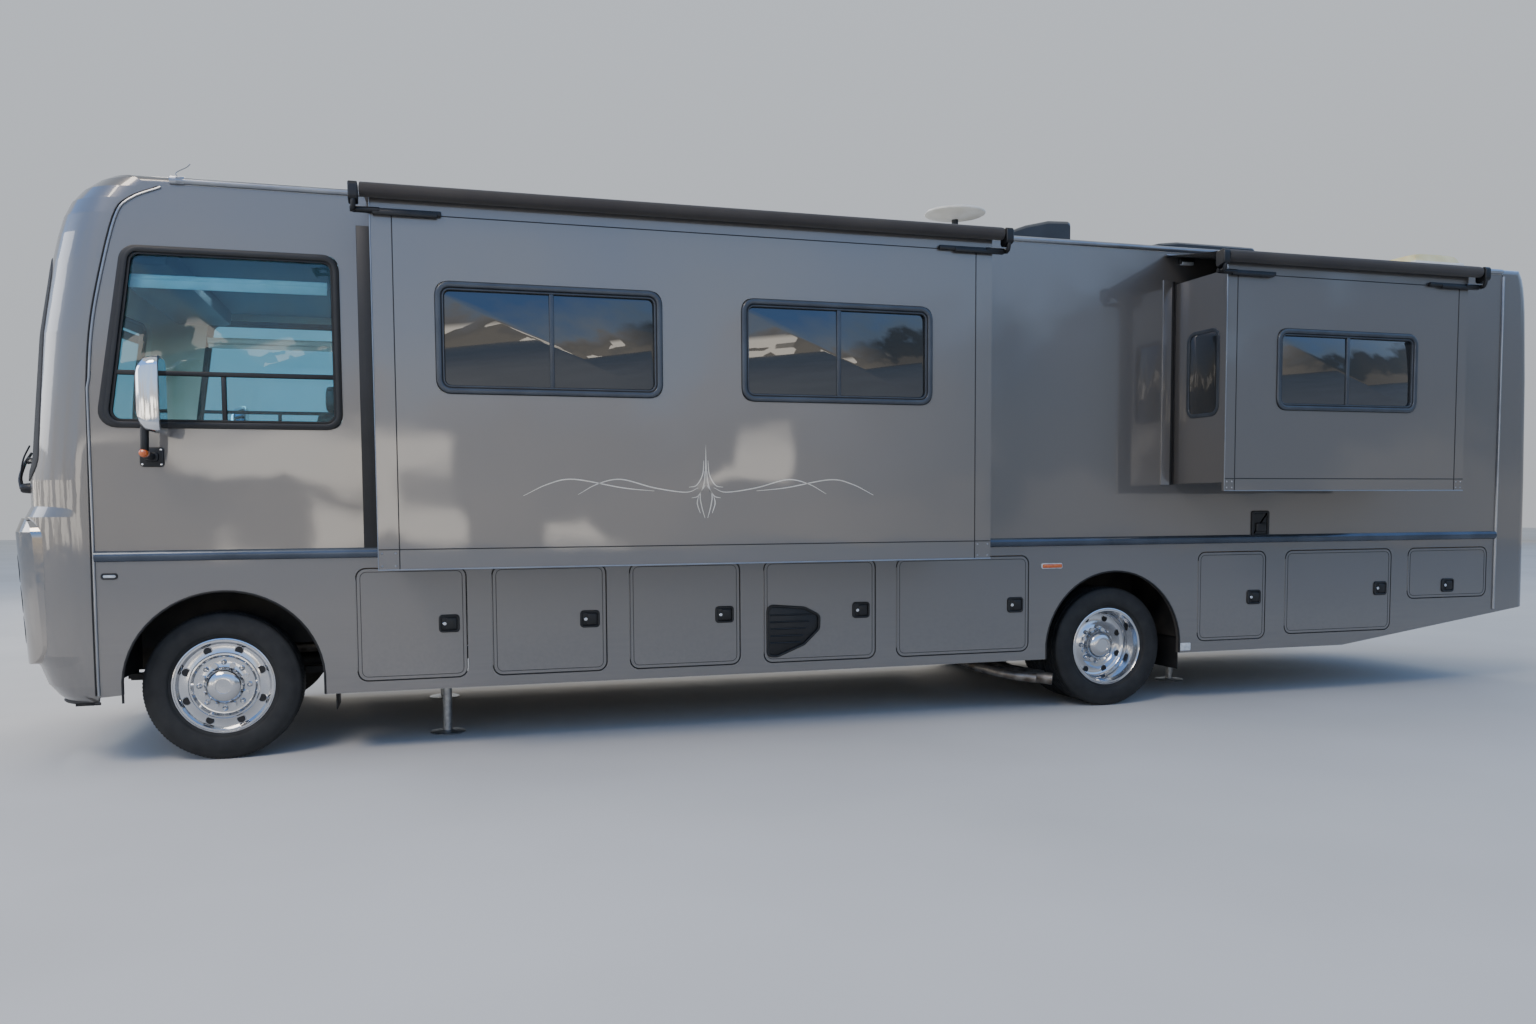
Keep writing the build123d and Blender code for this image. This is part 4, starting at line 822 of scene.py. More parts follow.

# %% [markdown]
# ### Slide toppers
# A sprung roller on the room's outer edge keeps a strip of awning cloth tight between it and the coach
# wall, so that leaves stay off the room's roof. The cloth is drawn as one sheet, a touch slack in the
# middle: a cloth simulation would give nearly the same, and a short formula is the same every time. When
# the room goes in, the roller winds the cloth up; the sheet here is drawn with the room run out.

# %% Toppers
WALL_RAIL_Z = 3.178
for name, (rear, front, low, high) in rooms.items():
    roller_y, roller_z = FACE + 0.050, high + 0.002
    roll_bm = bmesh.new()
    rounds = [(0.0, 0.0), (0.018, 0.0), (0.0355, 0.004), (0.0375, 0.03)]
    length = front - rear + 0.080
    profile = [(r, t - 0.008) for r, t in rounds] + [(r, length + 0.008 - t) for r, t in reversed(rounds)]
    turned(roll_bm, profile, about(crosswise(rear - 0.040), roller_y, roller_z), 28)
    piece(name + "_roller_cloth", roll_bm, name, "coated_awning_weave")
    arms = bmesh.new()
    for x, way in ((rear, -1), (front, 1)):
        # end cap round the roller, its bracket and the long foot on the room's face
        low_x, high_x = sorted((x + way * 0.052, x + way * 0.100))
        cap_outline = rounded([(FACE + 0.004, high - 0.078), (FACE + 0.091, high - 0.053),
                               (FACE + 0.091, high + 0.040), (FACE + 0.004, high + 0.027)], 0.022, 5)
        skin(arms, [[at(c, a, b) for a, b in ring] for ring, c in
                    ((inset(cap_outline, 0.004), low_x), (cap_outline, low_x + 0.004),
                     (cap_outline, high_x - 0.004), (inset(cap_outline, 0.004), high_x))])
        foot_low, foot_high = sorted((x + way * 0.085, x - way * 0.36))
        brick(arms, (foot_low, FACE, high - 0.107), (foot_high, FACE + 0.026, high - 0.079), 0.006)
        brick(arms, (foot_low + 0.02, FACE + 0.010, high - 0.115),
              (foot_high - 0.10, FACE + 0.032, high - 0.090), 0.005)
        tube(arms, [at(x + way * 0.094, FACE + 0.018, high - 0.092),
                    at(x - way * 0.05, FACE + 0.020, high - 0.092)], 0.015, 12)
        bracket = [(0.026, 0.092), (0.056, 0.094), (0.070, 0.060), (0.060, 0.01)]
        tube(arms, smooth_line([at(x + way * 0.076, FACE + out, high - down) for out, down in bracket], 5),
             0.013, 10)
    piece(name + "_topper_arms", arms, name, "black_coated_steel", replaces=(name + "_topper",))
    cloth = bmesh.new()
    columns, rows = 60, 16
    start = Vector((0, HALF + 0.004, WALL_RAIL_Z))
    end = Vector((0, roller_y, roller_z + 0.0385))
    grid = []
    for i in range(columns + 1):
        u = i / columns
        row = []
        for j in range(rows + 1):
            v = j / rows
            sag = 0.012 * math.sin(math.pi * v) * (0.6 + 0.4 * math.sin(math.pi * u))
            wrinkle = 0.0015 * math.sin(u * 46 + 2.2 * v) * math.sin(math.pi * v)
            point = start.lerp(end, v)
            row.append(at(rear - 0.040 + u * length, point.y, point.z - sag + wrinkle))
        grid.append(row)
    join_grid(cloth, grid)
    sheet = piece(name + "_cloth", cloth, "root", "coated_awning_weave",
                  replaces=(name + "_topper_fabric",))
    solid = sheet.modifiers.new("thickness", "SOLIDIFY")
    solid.thickness = 0.001
    drawn = FACE - HALF + 0.05
    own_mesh(sheet)
    rail = bmesh.new()
    tube(rail, [at(rear - 0.03, HALF + 0.006, 3.181), at(front + 0.03, HALF + 0.006, 3.181)], 0.009, 8)
    piece(name + "_awning_rail", rail, "root", "anodised_rail_aluminium")
print("2 toppers")

# %% [markdown]
# ## Bay doors
# The luggage doors hang on their front edges. Each has a rounded pressed edge with a dark rubber line
# round it, and a black paddle latch near the rear edge. Door four on the left has a moulded vent. Every
# door is dressed from its own box, so one loop serves all eleven, short or tall, left or right.

# %% Bay doors
HINGE = 0.0047  # how far a door's hinge pin reaches in front of its edge
REAR_CORNER_DOOR = -8.191
for name in sorted(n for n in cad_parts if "bay_door" in n):
    low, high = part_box(name)
    rear, front = low.x - AXLE_X, high.x - AXLE_X - HINGE
    place = on_left if name.startswith("left") else on_right
    outline = rounded(oblong(rear, front, low.z, high.z), 0.055, 6)
    seal = bmesh.new()
    collar(seal, inset(outline, -0.001), 0.004, place, -0.006, 0.001, 0.001)
    tube(seal, [place(a, b, 0.0) for a, b in inset(outline, 0.021)], 0.0018, 6, closed=True)
    piece(name + "_seal", seal, name, "epdm_seal_rubber")
    short = high.z - low.z < 0.5
    z = 0.799 if short else (0.792 if abs(rear - REAR_CORNER_DOOR) < 0.02 else 0.756)
    x = rear + (0.382 if short else 0.100)
    latch = bmesh.new()
    surround = rounded(oblong(x - 0.060, x + 0.060, z - 0.053, z + 0.053), 0.022, 5)
    collar(latch, surround, 0.014, place, -0.002, 0.010, 0.004)
    plate(latch, inset(surround, 0.014), place, -0.004, 0.002, 0.001)
    plate(latch, rounded(oblong(x - 0.042, x + 0.018, z - 0.034, z + 0.034), 0.010), place, 0.0, 0.009, 0.003)
    piece(name + "_latch", latch, name, "black_grained_abs")
    lock = bmesh.new()
    turned(lock, [(0.0, 0.0125), (0.009, 0.0125), (0.0115, 0.010), (0.0115, 0.0)],
           about(place, x + 0.026, z), 20)
    piece(name + "_lock", lock, name, "chrome_plate")

vent = bmesh.new()
vent_outline = rounded([(-3.212, 0.812), (-3.212, 0.470), (-3.285, 0.466), (-3.470, 0.540), (-3.575, 0.640),
                        (-3.578, 0.735), (-3.470, 0.790)], 0.045, 5)
collar(vent, vent_outline, 0.016, on_left, -0.002, 0.010, 0.004)
plate(vent, inset(vent_outline, 0.016), on_left, -0.004, 0.001, 0.0005)
for k in range(5):
    z = 0.560 + 0.045 * k
    tube(vent, [on_left(-3.235, z, 0.002), on_left(-3.44 - 0.02 * k, z, 0.002)], 0.006, 6)
piece("left_bay_door_4_vent", vent, "left_bay_door_4", "black_grained_abs")

# %% [markdown]
# ## Wheels and tyres
# A wheel is a turned part, so it is drawn as half a section and carried round. Bumps for the wheel
# nuts are set on top, and black discs in the hand-hole rims are painted shade for the dark inside each
# hand hole. The tyre's tread is cut by four grooves, and every second step round the shoulder is sunk
# a little for the fine sipes of a highway tyre. A bump map could draw them too, but real cuts also
# break the outline against the light.

# %% Wheels
front_profile = [(0.268, 0.070), (0.275, 0.086), (0.2745, 0.096), (0.268, 0.098), (0.262, 0.092),
                 (0.257, 0.078), (0.250, 0.069), (0.243, 0.067), (0.205, 0.073), (0.192, 0.077),
                 (0.186, 0.085), (0.178, 0.086), (0.172, 0.078), (0.164, 0.069), (0.152, 0.067),
                 (0.116, 0.071), (0.108, 0.074), (0.104, 0.084), (0.098, 0.100), (0.084, 0.115),
                 (0.064, 0.125), (0.046, 0.129), (0.041, 0.129), (0.040, 0.122), (0.0, 0.121)]
rear_profile = [(0.268, 0.070), (0.275, 0.086), (0.2745, 0.096), (0.268, 0.098), (0.262, 0.092),
                (0.255, 0.070), (0.249, 0.030), (0.241, -0.015), (0.233, -0.042), (0.222, -0.055),
                (0.206, -0.060), (0.175, -0.058), (0.150, -0.054), (0.140, -0.046), (0.112, -0.044),
                (0.105, -0.038), (0.101, -0.010), (0.094, 0.018), (0.078, 0.034), (0.056, 0.042),
                (0.046, 0.043), (0.044, 0.036), (0.0, 0.035)]
tyre_half = [(0.2735, 0.090), (0.282, 0.098), (0.290, 0.100), (0.296, 0.112), (0.305, 0.116),
             (0.335, 0.1215), (0.362, 0.1205), (0.385, 0.116), (0.388, 0.1145), (0.400, 0.112),
             (0.414, 0.108), (0.4215, 0.101), (0.4235, 0.096), (0.4245, 0.070), (0.4245, 0.066),
             (0.4135, 0.065), (0.4135, 0.059), (0.4250, 0.058), (0.4250, 0.030), (0.4140, 0.029),
             (0.4140, 0.021), (0.4250, 0.020)]
tyre_profile = tyre_half + [(r, -t) for r, t in reversed(tyre_half)]
print(len(front_profile), len(rear_profile), len(tyre_profile), "points in the sections")

# %% Wheel and tyre recipes
HOLES = 8


def wheel_face(name, body, x, y, side, profile, holes_r, hole_depth, nuts_r, nut_depth):
    """The polished face of a wheel with its nuts, and black discs in its hand-hole rims as painted shade."""
    def spin(away, turn, depth):
        """The rule for a part that is turned about a point of the wheel's face."""
        cx, cz = away * math.cos(turn), away * math.sin(turn)
        return lambda r, w, t: at(x + cx + r * math.cos(w), side * (y + depth + t),
                                  AXLE_Z + cz + r * math.sin(w))

    face, hole_shade = bmesh.new(), bmesh.new()
    back = [(0.268, 0.070), (0.240, 0.060), (0.240, -0.060), (0.268, -0.085), (0.272, -0.095),
            (0.262, -0.095)]
    turned(face, profile, spin(0, 0, 0), 96)
    turned(face, back, spin(0, 0, 0), 96)
    for k in range(HOLES):
        w = 2 * math.pi / HOLES * k
        turned(face, [(0.017, 0.0), (0.0155, 0.008), (0.012, 0.017), (0.006, 0.022), (0.0, 0.0225)],
               spin(nuts_r, w, nut_depth), 16)
        w += math.pi / HOLES
        turned(face, [(0.026, 0.001), (0.0245, 0.0035), (0.0225, 0.0035), (0.021, 0.001)],
               spin(holes_r, w, hole_depth), 28)
        # black disc in each hand-hole rim: painted shade for the dark inside the hand hole
        turned(hole_shade, [(0.0, 0.0022), (0.0218, 0.0022), (0.0218, -0.01)], spin(holes_r, w, hole_depth), 28)
    piece(name + "_face", face, body, "polished_wheel_steel")
    piece(name + "_hand_hole_shade", hole_shade, body, "epdm_seal_rubber")


def tyre(name, body, x, middles, side, replaces):
    """One or two tyres with ribs, shoulder lugs and sidewall rings."""
    bm = bmesh.new()
    steps = 240
    for y in middles:
        rings = []
        for r, t in tyre_profile:
            shoulder = r > 0.41 and 0.06 < abs(t) < 0.112
            rib = r > 0.42 and abs(t) < 0.06
            ring = []
            for k in range(steps):
                w = 2 * math.pi * k / steps
                cut = 0.0035 if (shoulder and k % 2 == 0) or (rib and k % 6 == 1) else 0.0
                ring.append(at(x + (r - cut) * math.cos(w), side * (y + t),
                               AXLE_Z + (r - cut) * math.sin(w)))
            rings.append(ring)
        skin(bm, rings, looped=True)
    piece(name, bm, body, "tyre_rubber", replaces=replaces, sharp=40)


# %% All wheels
FRONT_Y = middle("front_left_tyre", 1) - MID_Y
TYRE_HALF = 0.1225
rear_low, rear_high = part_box("rear_left_tyres")
OUTER_Y, INNER_Y = rear_high.y - MID_Y - TYRE_HALF, rear_low.y - MID_Y + TYRE_HALF
for word, side in (("left", 1), ("right", -1)):
    wheel_face(f"front_{word}", f"front_{word}_wheel", 0, FRONT_Y, side, front_profile,
               holes_r=0.216, hole_depth=0.0715, nuts_r=0.134, nut_depth=0.068)
    wheel_face(f"rear_{word}", f"rear_{word}_wheels", REAR_X, OUTER_Y, side, rear_profile,
               holes_r=0.196, hole_depth=-0.0600, nuts_r=0.126, nut_depth=-0.046)
    tyre(f"front_{word}_treaded_tyre", f"front_{word}_wheel", 0, (FRONT_Y,), side, (f"front_{word}_tyre",))
    tyre(f"rear_{word}_treaded_tyres", f"rear_{word}_wheels", REAR_X, (OUTER_Y, INNER_Y), side,
         (f"rear_{word}_tyres",))
print("4 wheels, 6 tyres")

# %% [markdown]
# ## Mirrors
# Each mirror is a chromed shell on a black arm. The arm grows out of a four-screw plate, and a small
# round amber lamp sits on its elbow. The shell is a soft box, fuller in front, with the glass set in
# its rear. It is built from outlines that swell and close again, which keeps its chrome free of dents.

# %% Mirrors
for word, side in (("left", 1), ("right", -1)):
    mount = bmesh.new()
    place = on_left if side > 0 else on_right
    plate(mount, rounded(oblong(0.237, 0.357, 1.672, 1.780), 0.018), place, -0.001, 0.013, 0.004)
    plate(mount, rounded(oblong(0.262, 0.332, 1.700, 1.752), 0.015), place, 0.010, 0.026, 0.005)
    path = smooth_line([place(0.297, 1.728, 0.012), place(0.296, 1.727, 0.09), place(0.291, 1.728, 0.18),
                        place(0.286, 1.750, 0.225), place(0.283, 1.800, 0.232),
                        place(0.281, 1.875, 0.232)], 6)
    tube(mount, path, 0.021, 14)
    piece(f"mirror_{word}_arm", mount, "root", "black_coated_steel",
          replaces=("mirrors",) if side > 0 else ())
    screws = bmesh.new()
    for x in (0.250, 0.344):
        for z in (1.686, 1.766):
            turned(screws, [(0.0, 0.0185), (0.005, 0.018), (0.008, 0.013)], about(place, x, z), 12)
    piece(f"mirror_{word}_screws", screws, "root", "chrome_plate")
    lens = bmesh.new()
    turned(lens, [(0.0, 0.255), (0.013, 0.253), (0.021, 0.246), (0.024, 0.234), (0.024, 0.205)],
           about(place, 0.290, 1.738), 24)
    piece(f"mirror_{word}_lamp", lens, "root", "amber_lens")
    shell = bmesh.new()
    rings = []
    for t, grow in ((0.0, 0.55), (0.02, 0.80), (0.05, 0.95), (0.10, 1.0), (0.118, 1.0), (0.122, 0.97)):
        ring = rounded(rectangle(0.225 - 0.104 * grow, 0.225 + 0.104 * grow,
                                 2.044 - 0.202 * grow, 2.044 + 0.202 * grow), 0.055 * grow, 6)
        rings.append([place(0.312 - t, b, a) for a, b in ring])
    skin(shell, rings)
    piece(f"mirror_{word}_shell", shell, "root", "chrome_plate", sharp=60)
    silvered = bmesh.new()
    ring = rounded(rectangle(0.132, 0.318, 1.853, 2.235), 0.045, 6)
    skin(silvered, [[place(0.1915, b, a) for a, b in ring],
                    [place(0.1885, b, a) for a, b in inset(ring, 0.002)]])
    piece(f"mirror_{word}_glass", silvered, "root", "privacy_glass")
print("2 mirrors")

# %% [markdown]
# ## Rails, seams and small side fittings
# Long thin lines tell the eye how the coach is put together: the dark gap where the front cap meets
# the walls, and the bright rails where wall, roof and rear cap meet. Thin tubes that follow the joints do
# this better than grooves, which would need a much finer wall.

# %% Seams and rails
seams = bmesh.new()
rails = bmesh.new()
seam_line = [(0.618, 0.42), (0.618, 0.90), (0.612, 1.60), (0.607, 2.10)]
seam_curve = smooth_line([(0.607, 2.10), (0.585, 2.38), (0.541, 2.64), (0.448, 3.013), (0.369, 3.120),
                          (0.220, 3.190)], 5)
for place in (on_left, on_right):
    line = [place(a, b, 0.0005) for a, b in seam_line] + [place(p.x, p.y, 0.0005) for p in seam_curve[1:]]
    tube(seams, line, 0.0045, 8)
    tube(seams, [place(-9.200, 0.60, 0.0), place(-9.200, 3.20, 0.0)], 0.0035, 8)
    tube(rails, [place(0.120, 3.226, 0.000), place(-9.19, 3.226, 0.000)], 0.019, 12)
    tube(rails, [place(0.128, 3.226, 0.000), place(0.095, 3.224, 0.000)], [0.024, 0.020], 12)
    tube(rails, [place(-9.205, 0.60, 0.004), place(-9.205, 3.19, 0.004)], 0.011, 10)
    tube(rails, [place(0.603, 0.42, 0.003)] + [place(p.x - 0.014, p.y - 0.004, 0.003)
                                              for p in ([Vector((0.614, 2.1))] + seam_curve[1:])], 0.007, 8)
piece("cap_seams", seams, "root", "epdm_seal_rubber")
piece("roof_and_corner_rails", rails, "root", "anodised_rail_aluminium")

# %% [markdown]
# ### Wheel arch lips
# The cut edge of an arch is covered by a rubber bead. It follows an arc through the two feet and the
# crown, so the arc's radius is worked out from those three points.

# %% Arch lips
ARCH_RISE, ARCH_FOOT = 0.49, 0.372
lips = bmesh.new()
for rear, front, crown in ((-0.557, 0.487, 0.980), (-6.312, -5.232, 0.970)):
    mid_x, half_w = (rear + front) / 2, (front - rear) / 2
    radius = (half_w ** 2 + ARCH_RISE ** 2) / (2 * ARCH_RISE)
    reach = math.asin(half_w / radius)
    arch = [(mid_x + radius * math.sin(w), crown - radius + radius * math.cos(w))
            for w in (reach * (2 * k / 28 - 1) for k in range(29))]
    for place in (on_left, on_right):
        line = [(rear, ARCH_FOOT)] + arch + [(front, ARCH_FOOT)]
        tube(lips, [place(a, b, -0.003) for a, b in line], 0.007, 8)
piece("arch_lips", lips, "root", "epdm_seal_rubber")

# %% [markdown]
# ### Small fittings
# Marker lamps, a small hatch and a few covers are moulded plastic, screwed to the skin. Each is a plate
# or a frame that stands a few millimetres proud, enough to catch a thin edge of light.

# %% Small fittings on the sides
dark, amber, clear = bmesh.new(), bmesh.new(), bmesh.new()
for place in (on_left, on_right):
    marker = rounded(oblong(0.488, 0.572, 1.057, 1.093), 0.017, 5)
    collar(dark, marker, 0.010, place, -0.001, 0.008, 0.003)
    plate(clear, inset(marker, 0.010), place, -0.001, 0.003, 0.001)
    marker = rounded(oblong(-5.352, -5.190, 0.998, 1.036), 0.012, 5)
    plate(amber, inset(marker, 0.006), place, 0.0, 0.016, 0.006)
    collar(clear, marker, 0.010, place, -0.001, 0.006, 0.002)
    plate(clear, rounded(oblong(-6.403, -6.320, 0.385, 0.440), 0.006), place, 0.0, 0.006, 0.002)
    plate(dark, rounded(oblong(-6.375, -6.250, 3.125, 3.165), 0.008), place, -0.001, 0.028, 0.006)
    plate(clear, rounded(oblong(-6.360, -6.265, 3.118, 3.140), 0.004), place, 0.004, 0.032, 0.004)
hatch = rounded(oblong(-7.062, -6.908, 1.199, 1.388), 0.018, 5)
collar(dark, hatch, 0.018, on_left, -0.001, 0.012, 0.004)
plate(dark, inset(hatch, 0.018), on_left, -0.002, 0.004, 0.002)
plate(dark, rounded(oblong(-7.030, -6.945, 1.235, 1.300), 0.010), on_left, 0.0, 0.016, 0.006)
piece("side_fittings_black", dark, "root", "black_grained_abs")
piece("side_marker_lamps", amber, "root", "amber_lens")
piece("side_fittings_clear", clear, "root", "clear_lens")
print("side fittings done")

# %% [markdown]
# ## The front cap
# The cap is a moulded shell whose face bows forward and whose corners turn back. To lay trim on it,
# one function tells how far forward the skin is at any width and height, from the same level sections
# that the shell was lofted through. A shrinkwrap would also do, but it needs the shell's mesh to be fine.

# %% Skin of the front
NOSE = [(0.25, 0.780), (0.37, 0.905), (0.41, 0.950), (0.47, 1.000), (0.60, 1.045), (1.60, 1.048),
        (2.40, 0.967), (2.80, 0.895), (2.94, 0.862), (3.04, 0.832), (3.12, 0.792), (3.185, 0.735),
        (3.235, 0.665), (3.275, 0.575), (3.305, 0.465), (3.33, 0.320)]
BULGE = [(0.56, -0.020), (0.64, 0.028), (1.40, 0.030), (1.48, -0.012)]
BULGE_X = 1.050
BOW, CORNER = 0.130, 0.330


def between(table, z):
    """Read a value from a table of heights."""
    for (z0, v0), (z1, v1) in zip(table, table[1:]):
        if z <= z1:
            return v0 + (v1 - v0) * (z - z0) / (z1 - z0)
    return table[-1][1]


def skin_x(y, z, bulged=False):
    """How far forward the cap's skin is at a width and a height."""
    nose = between(NOSE, z)
    if bulged and BULGE[0][0] < z < BULGE[-1][0]:
        nose = max(nose, BULGE_X + between(BULGE, z))
    radius = (HALF ** 2 + BOW ** 2) / (2 * BOW)
    turn_y = HALF - CORNER
    y = abs(y)
    if y < turn_y * radius / (radius - CORNER):
        return nose - radius + math.sqrt(radius ** 2 - y ** 2)
    return (nose - radius + math.sqrt((radius - CORNER) ** 2 - turn_y ** 2)
            + math.sqrt(max(0.0, CORNER ** 2 - (y - turn_y) ** 2)))


def on_nose(a, b, c):
    """A place on the front, from its width, its height and its distance off the skin."""
    return at(skin_x(a, b) + c, a, b)


def on_bulge(a, b, c):
    """The same on the bulge below the windshield."""
    return at(skin_x(a, b, True) + c, a, b)


def on_bezel(a, b, c):
    """A place on the lamp bezels, which stand further out than the skin behind them."""
    proud = BULGE_X + between([(0.520, 0.040), (1.320, 0.080), (1.440, 0.030)], b) - between(NOSE, b)
    return at(skin_x(a, b) + proud + c, a, b)


def dense(outline, step=0.04):
    """The outline with more points, so that it can bend over a curved skin."""
    made = []
    for i, point in enumerate(outline):
        here, there = Vector(point), Vector(outline[(i + 1) % len(outline)])
        count = max(1, round((there - here).length / step))
        made += [tuple(here.lerp(there, k / count)) for k in range(count)]
    return made


print("nose at the windshield's foot", round(skin_x(0, 1.64), 3))

# %% [markdown]
# ### Windshield
# Two panes meet at a black upright. A black ceramic band is printed round their edge, and a fat rubber
# gasket holds them in the shell. The outlines are drawn flat and then bent over the nose point by point,
# so every part keeps the same distance from the skin. The wipers park low, one on each side.

# %% Windshield trim
shield = rounded([(-1.150, 1.640), (1.150, 1.640), (1.090, 2.790), (-1.090, 2.790)], 0.090, 7)
gasket, band = bmesh.new(), bmesh.new()
collar(gasket, dense(inset(shield, -0.042)), 0.060, on_nose, -0.020, 0.006, 0.005)
tube(gasket, [on_nose(0, 1.650 + 0.1 * k, -0.006) for k in range(12)], 0.010, 8)
collar(band, dense(inset(shield, 0.016)), 0.050, on_nose, -0.0095, -0.0088, 0.0002)
shade = rounded([(-1.080, 2.640), (1.080, 2.640), (1.070, 2.772), (-1.070, 2.772)], 0.06, 4)
collar(band, dense(shade), 0.058, on_nose, -0.0094, -0.0086, 0.0002)
piece("windshield_gasket", gasket, "root", "epdm_seal_rubber")
piece("windshield_border", band, "root", "black_grained_abs")
wipers = bmesh.new()
for side in (1, -1):
    foot = (side * 1.035, 1.560)
    turned(wipers, [(0.0, 0.050), (0.018, 0.048), (0.026, 0.038), (0.030, 0.0)], about(on_nose, *foot), 20)
    arm = [on_nose(*foot, 0.040), on_nose(side * 1.00, 1.62, 0.052), on_nose(side * 0.92, 1.70, 0.046),
           on_nose(side * 0.84, 1.762, 0.030)]
    tube(wipers, smooth_line(arm, 5), [0.013 - 0.0004 * k for k in range(16)], 8)
    tube(wipers, smooth_line([on_nose(side * 1.05, 1.615, 0.048), on_nose(side * 0.99, 1.72, 0.046),
                              on_nose(side * 0.92, 1.80, 0.030)], 5), 0.005, 8)
    for c, r in ((0.006, 0.007), (0.018, 0.009)):
        tube(wipers, [on_nose(side * (1.06 - 0.08 * k), 1.700 + 0.013 * k, c - 0.006) for k in range(10)],
             r, 8)
    for k in (1.5, 5.0, 8.0):
        y = side * (1.06 - 0.08 * k)
        brick(wipers, (skin_x(y, 1.72) - 0.002, y - 0.03, 1.688 + 0.013 * k),
              (skin_x(y, 1.72) + 0.026, y + 0.03, 1.712 + 0.013 * k), 0.005)
piece("wipers", wipers, "root", "black_coated_steel")

# %% [markdown]
# ### Lamps, grille and lower trim
# Three round lamps sit one above the other in each corner's bezel: a bright bowl, a black ring and a
# domed lens, amber in the lowest. All are turned parts, so half a section draws each of them.

# %% Front lamps
bowls, rings, lenses, blinkers = bmesh.new(), bmesh.new(), bmesh.new(), bmesh.new()
for side in (1, -1):
    for row, z in enumerate((1.115, 0.945, 0.775)):
        y = side * (HALF - 0.295)
        spot = about(crosswise(1.000 - 0.010 * row), y, z)
        turned(bowls, [(0.064, 0.006), (0.058, -0.004), (0.046, -0.020), (0.028, -0.032), (0.0, -0.036)],
               spot, 40)
        collar(rings, [(y + a, z + b) for a, b in circle(0.083, 48)], 0.0165, on_bezel, -0.006, 0.002, 0.001)
        turned(rings, [(0.0652, -0.015), (0.0652, 0.012), (0.0630, 0.017), (0.0585, 0.015), (0.0565, 0.004)],
               spot, 40)
        turned(blinkers if row == 2 else lenses,
               [(0.0575, 0.004), (0.050, 0.011), (0.035, 0.017), (0.018, 0.0195), (0.0, 0.020)], spot, 40)
piece("headlamp_bowls", bowls, "root", "chrome_plate", replaces=("lamps",))
piece("headlamp_rings", rings, "root", "black_grained_abs")
piece("headlamp_lenses", lenses, "root", "headlamp_glass")
piece("turn_signal_lenses", blinkers, "root", "amber_lens")

# %% [markdown]
# ### Grille and nose trim
# A fine wire mesh closes the grille. A picture with holes could fake it, but crossed wires also throw
# true shadows. Five amber clearance lamps run over the windshield, and a black lip ends the shell below.

# %% Grille mesh, clearance lamps, nose trim
mesh_bm = bmesh.new()
for k in range(47):
    y = -0.69 + 0.030 * k
    tube(mesh_bm, [at(0.947, y, 0.645), at(0.947, y, 1.115)], 0.0022, 4)
for k in range(24):
    tube(mesh_bm, [at(0.949, -0.695, 0.655 + 0.020 * k), at(0.949, 0.695, 0.655 + 0.020 * k)], 0.0018, 4)
surround = dense(rounded(oblong(-0.712, 0.712, 0.628, 1.132), 0.020, 4), 0.06)
collar(mesh_bm, surround, 0.024, on_bulge, -0.020, 0.005, 0.003)
piece("grille_mesh", mesh_bm, "root", "black_grained_abs")
clearance, bases = bmesh.new(), bmesh.new()
for y in (-0.86, -0.16, 0.0, 0.16, 0.86):
    plate(bases, rounded(rectangle(y - 0.062, y + 0.062, 2.965, 3.005), 0.015), on_nose, -0.004, 0.007, 0.003)
    plate(clearance, rounded(rectangle(y - 0.052, y + 0.052, 2.971, 2.999), 0.012), on_nose,
          0.0, 0.024, 0.010)
piece("clearance_lamp_bases", bases, "root", "black_grained_abs")
piece("clearance_lamps", clearance, "root", "amber_lens")
LIP_Z = 0.376
lip = bmesh.new()
edge_y = [HALF - 0.012 - 0.03 * k for k in range(8)] + [HALF - 0.30 - 0.1 * k for k in range(10)]
edge_y = edge_y + [0.0] + [-y for y in reversed(edge_y)]
lip_line = ([at(0.63, HALF - 0.004, LIP_Z), at(0.72, HALF - 0.005, LIP_Z)]
            + [at(skin_x(y, 0.385) - 0.004, y, LIP_Z) for y in edge_y if skin_x(y, 0.385) > 0.60]
            + [at(0.72, 0.005 - HALF, LIP_Z), at(0.63, 0.004 - HALF, LIP_Z)])
tube(lip, lip_line, 0.009, 8)
piece("nose_lip", lip, "root", "epdm_seal_rubber")
hood = bmesh.new()
hood_line = dense(rounded(oblong(-0.705, 0.705, 1.185, 1.545), 0.05, 5), 0.05)
tube(hood, [on_bulge(a, b, 0.0005) for a, b in hood_line], 0.003, 6, closed=True)
piece("hood_seam", hood, "root", "epdm_seal_rubber")

# %% [markdown]
# ## The cab, seen through the glass
# Two high-backed seats with arm rests are seen through the side window and the windshield. Padding over
# foam is full in the middle and tight at the seam. Sculpting or a cloth simulation could shape it, but
# behind glass a stack of rounded outlines that swell in the middle shows the same.

# %% Seats
def pad(bm, outline, place, thick, puff):
    """A crowned pad: its outline shrinks and its face swells towards the middle."""
    steps = 8
    rings = [[place(a, b, 0.0) for a, b in inset(outline, 0.018)]]
    for k in range(1, steps + 1):
        t = k / steps
        bulge = math.sin(min(1.0, t * 1.6) * math.pi / 2)
        pull = 0.0 if t < 0.4 else 0.012 * (t - 0.4) / 0.6 + 0.16 * max(0.0, t - 0.62) ** 1.6
        rings.append([place(a, b, thick * bulge + puff * max(0.0, t - 0.5)) for a, b in inset(outline, pull)])
    skin(bm, rings)


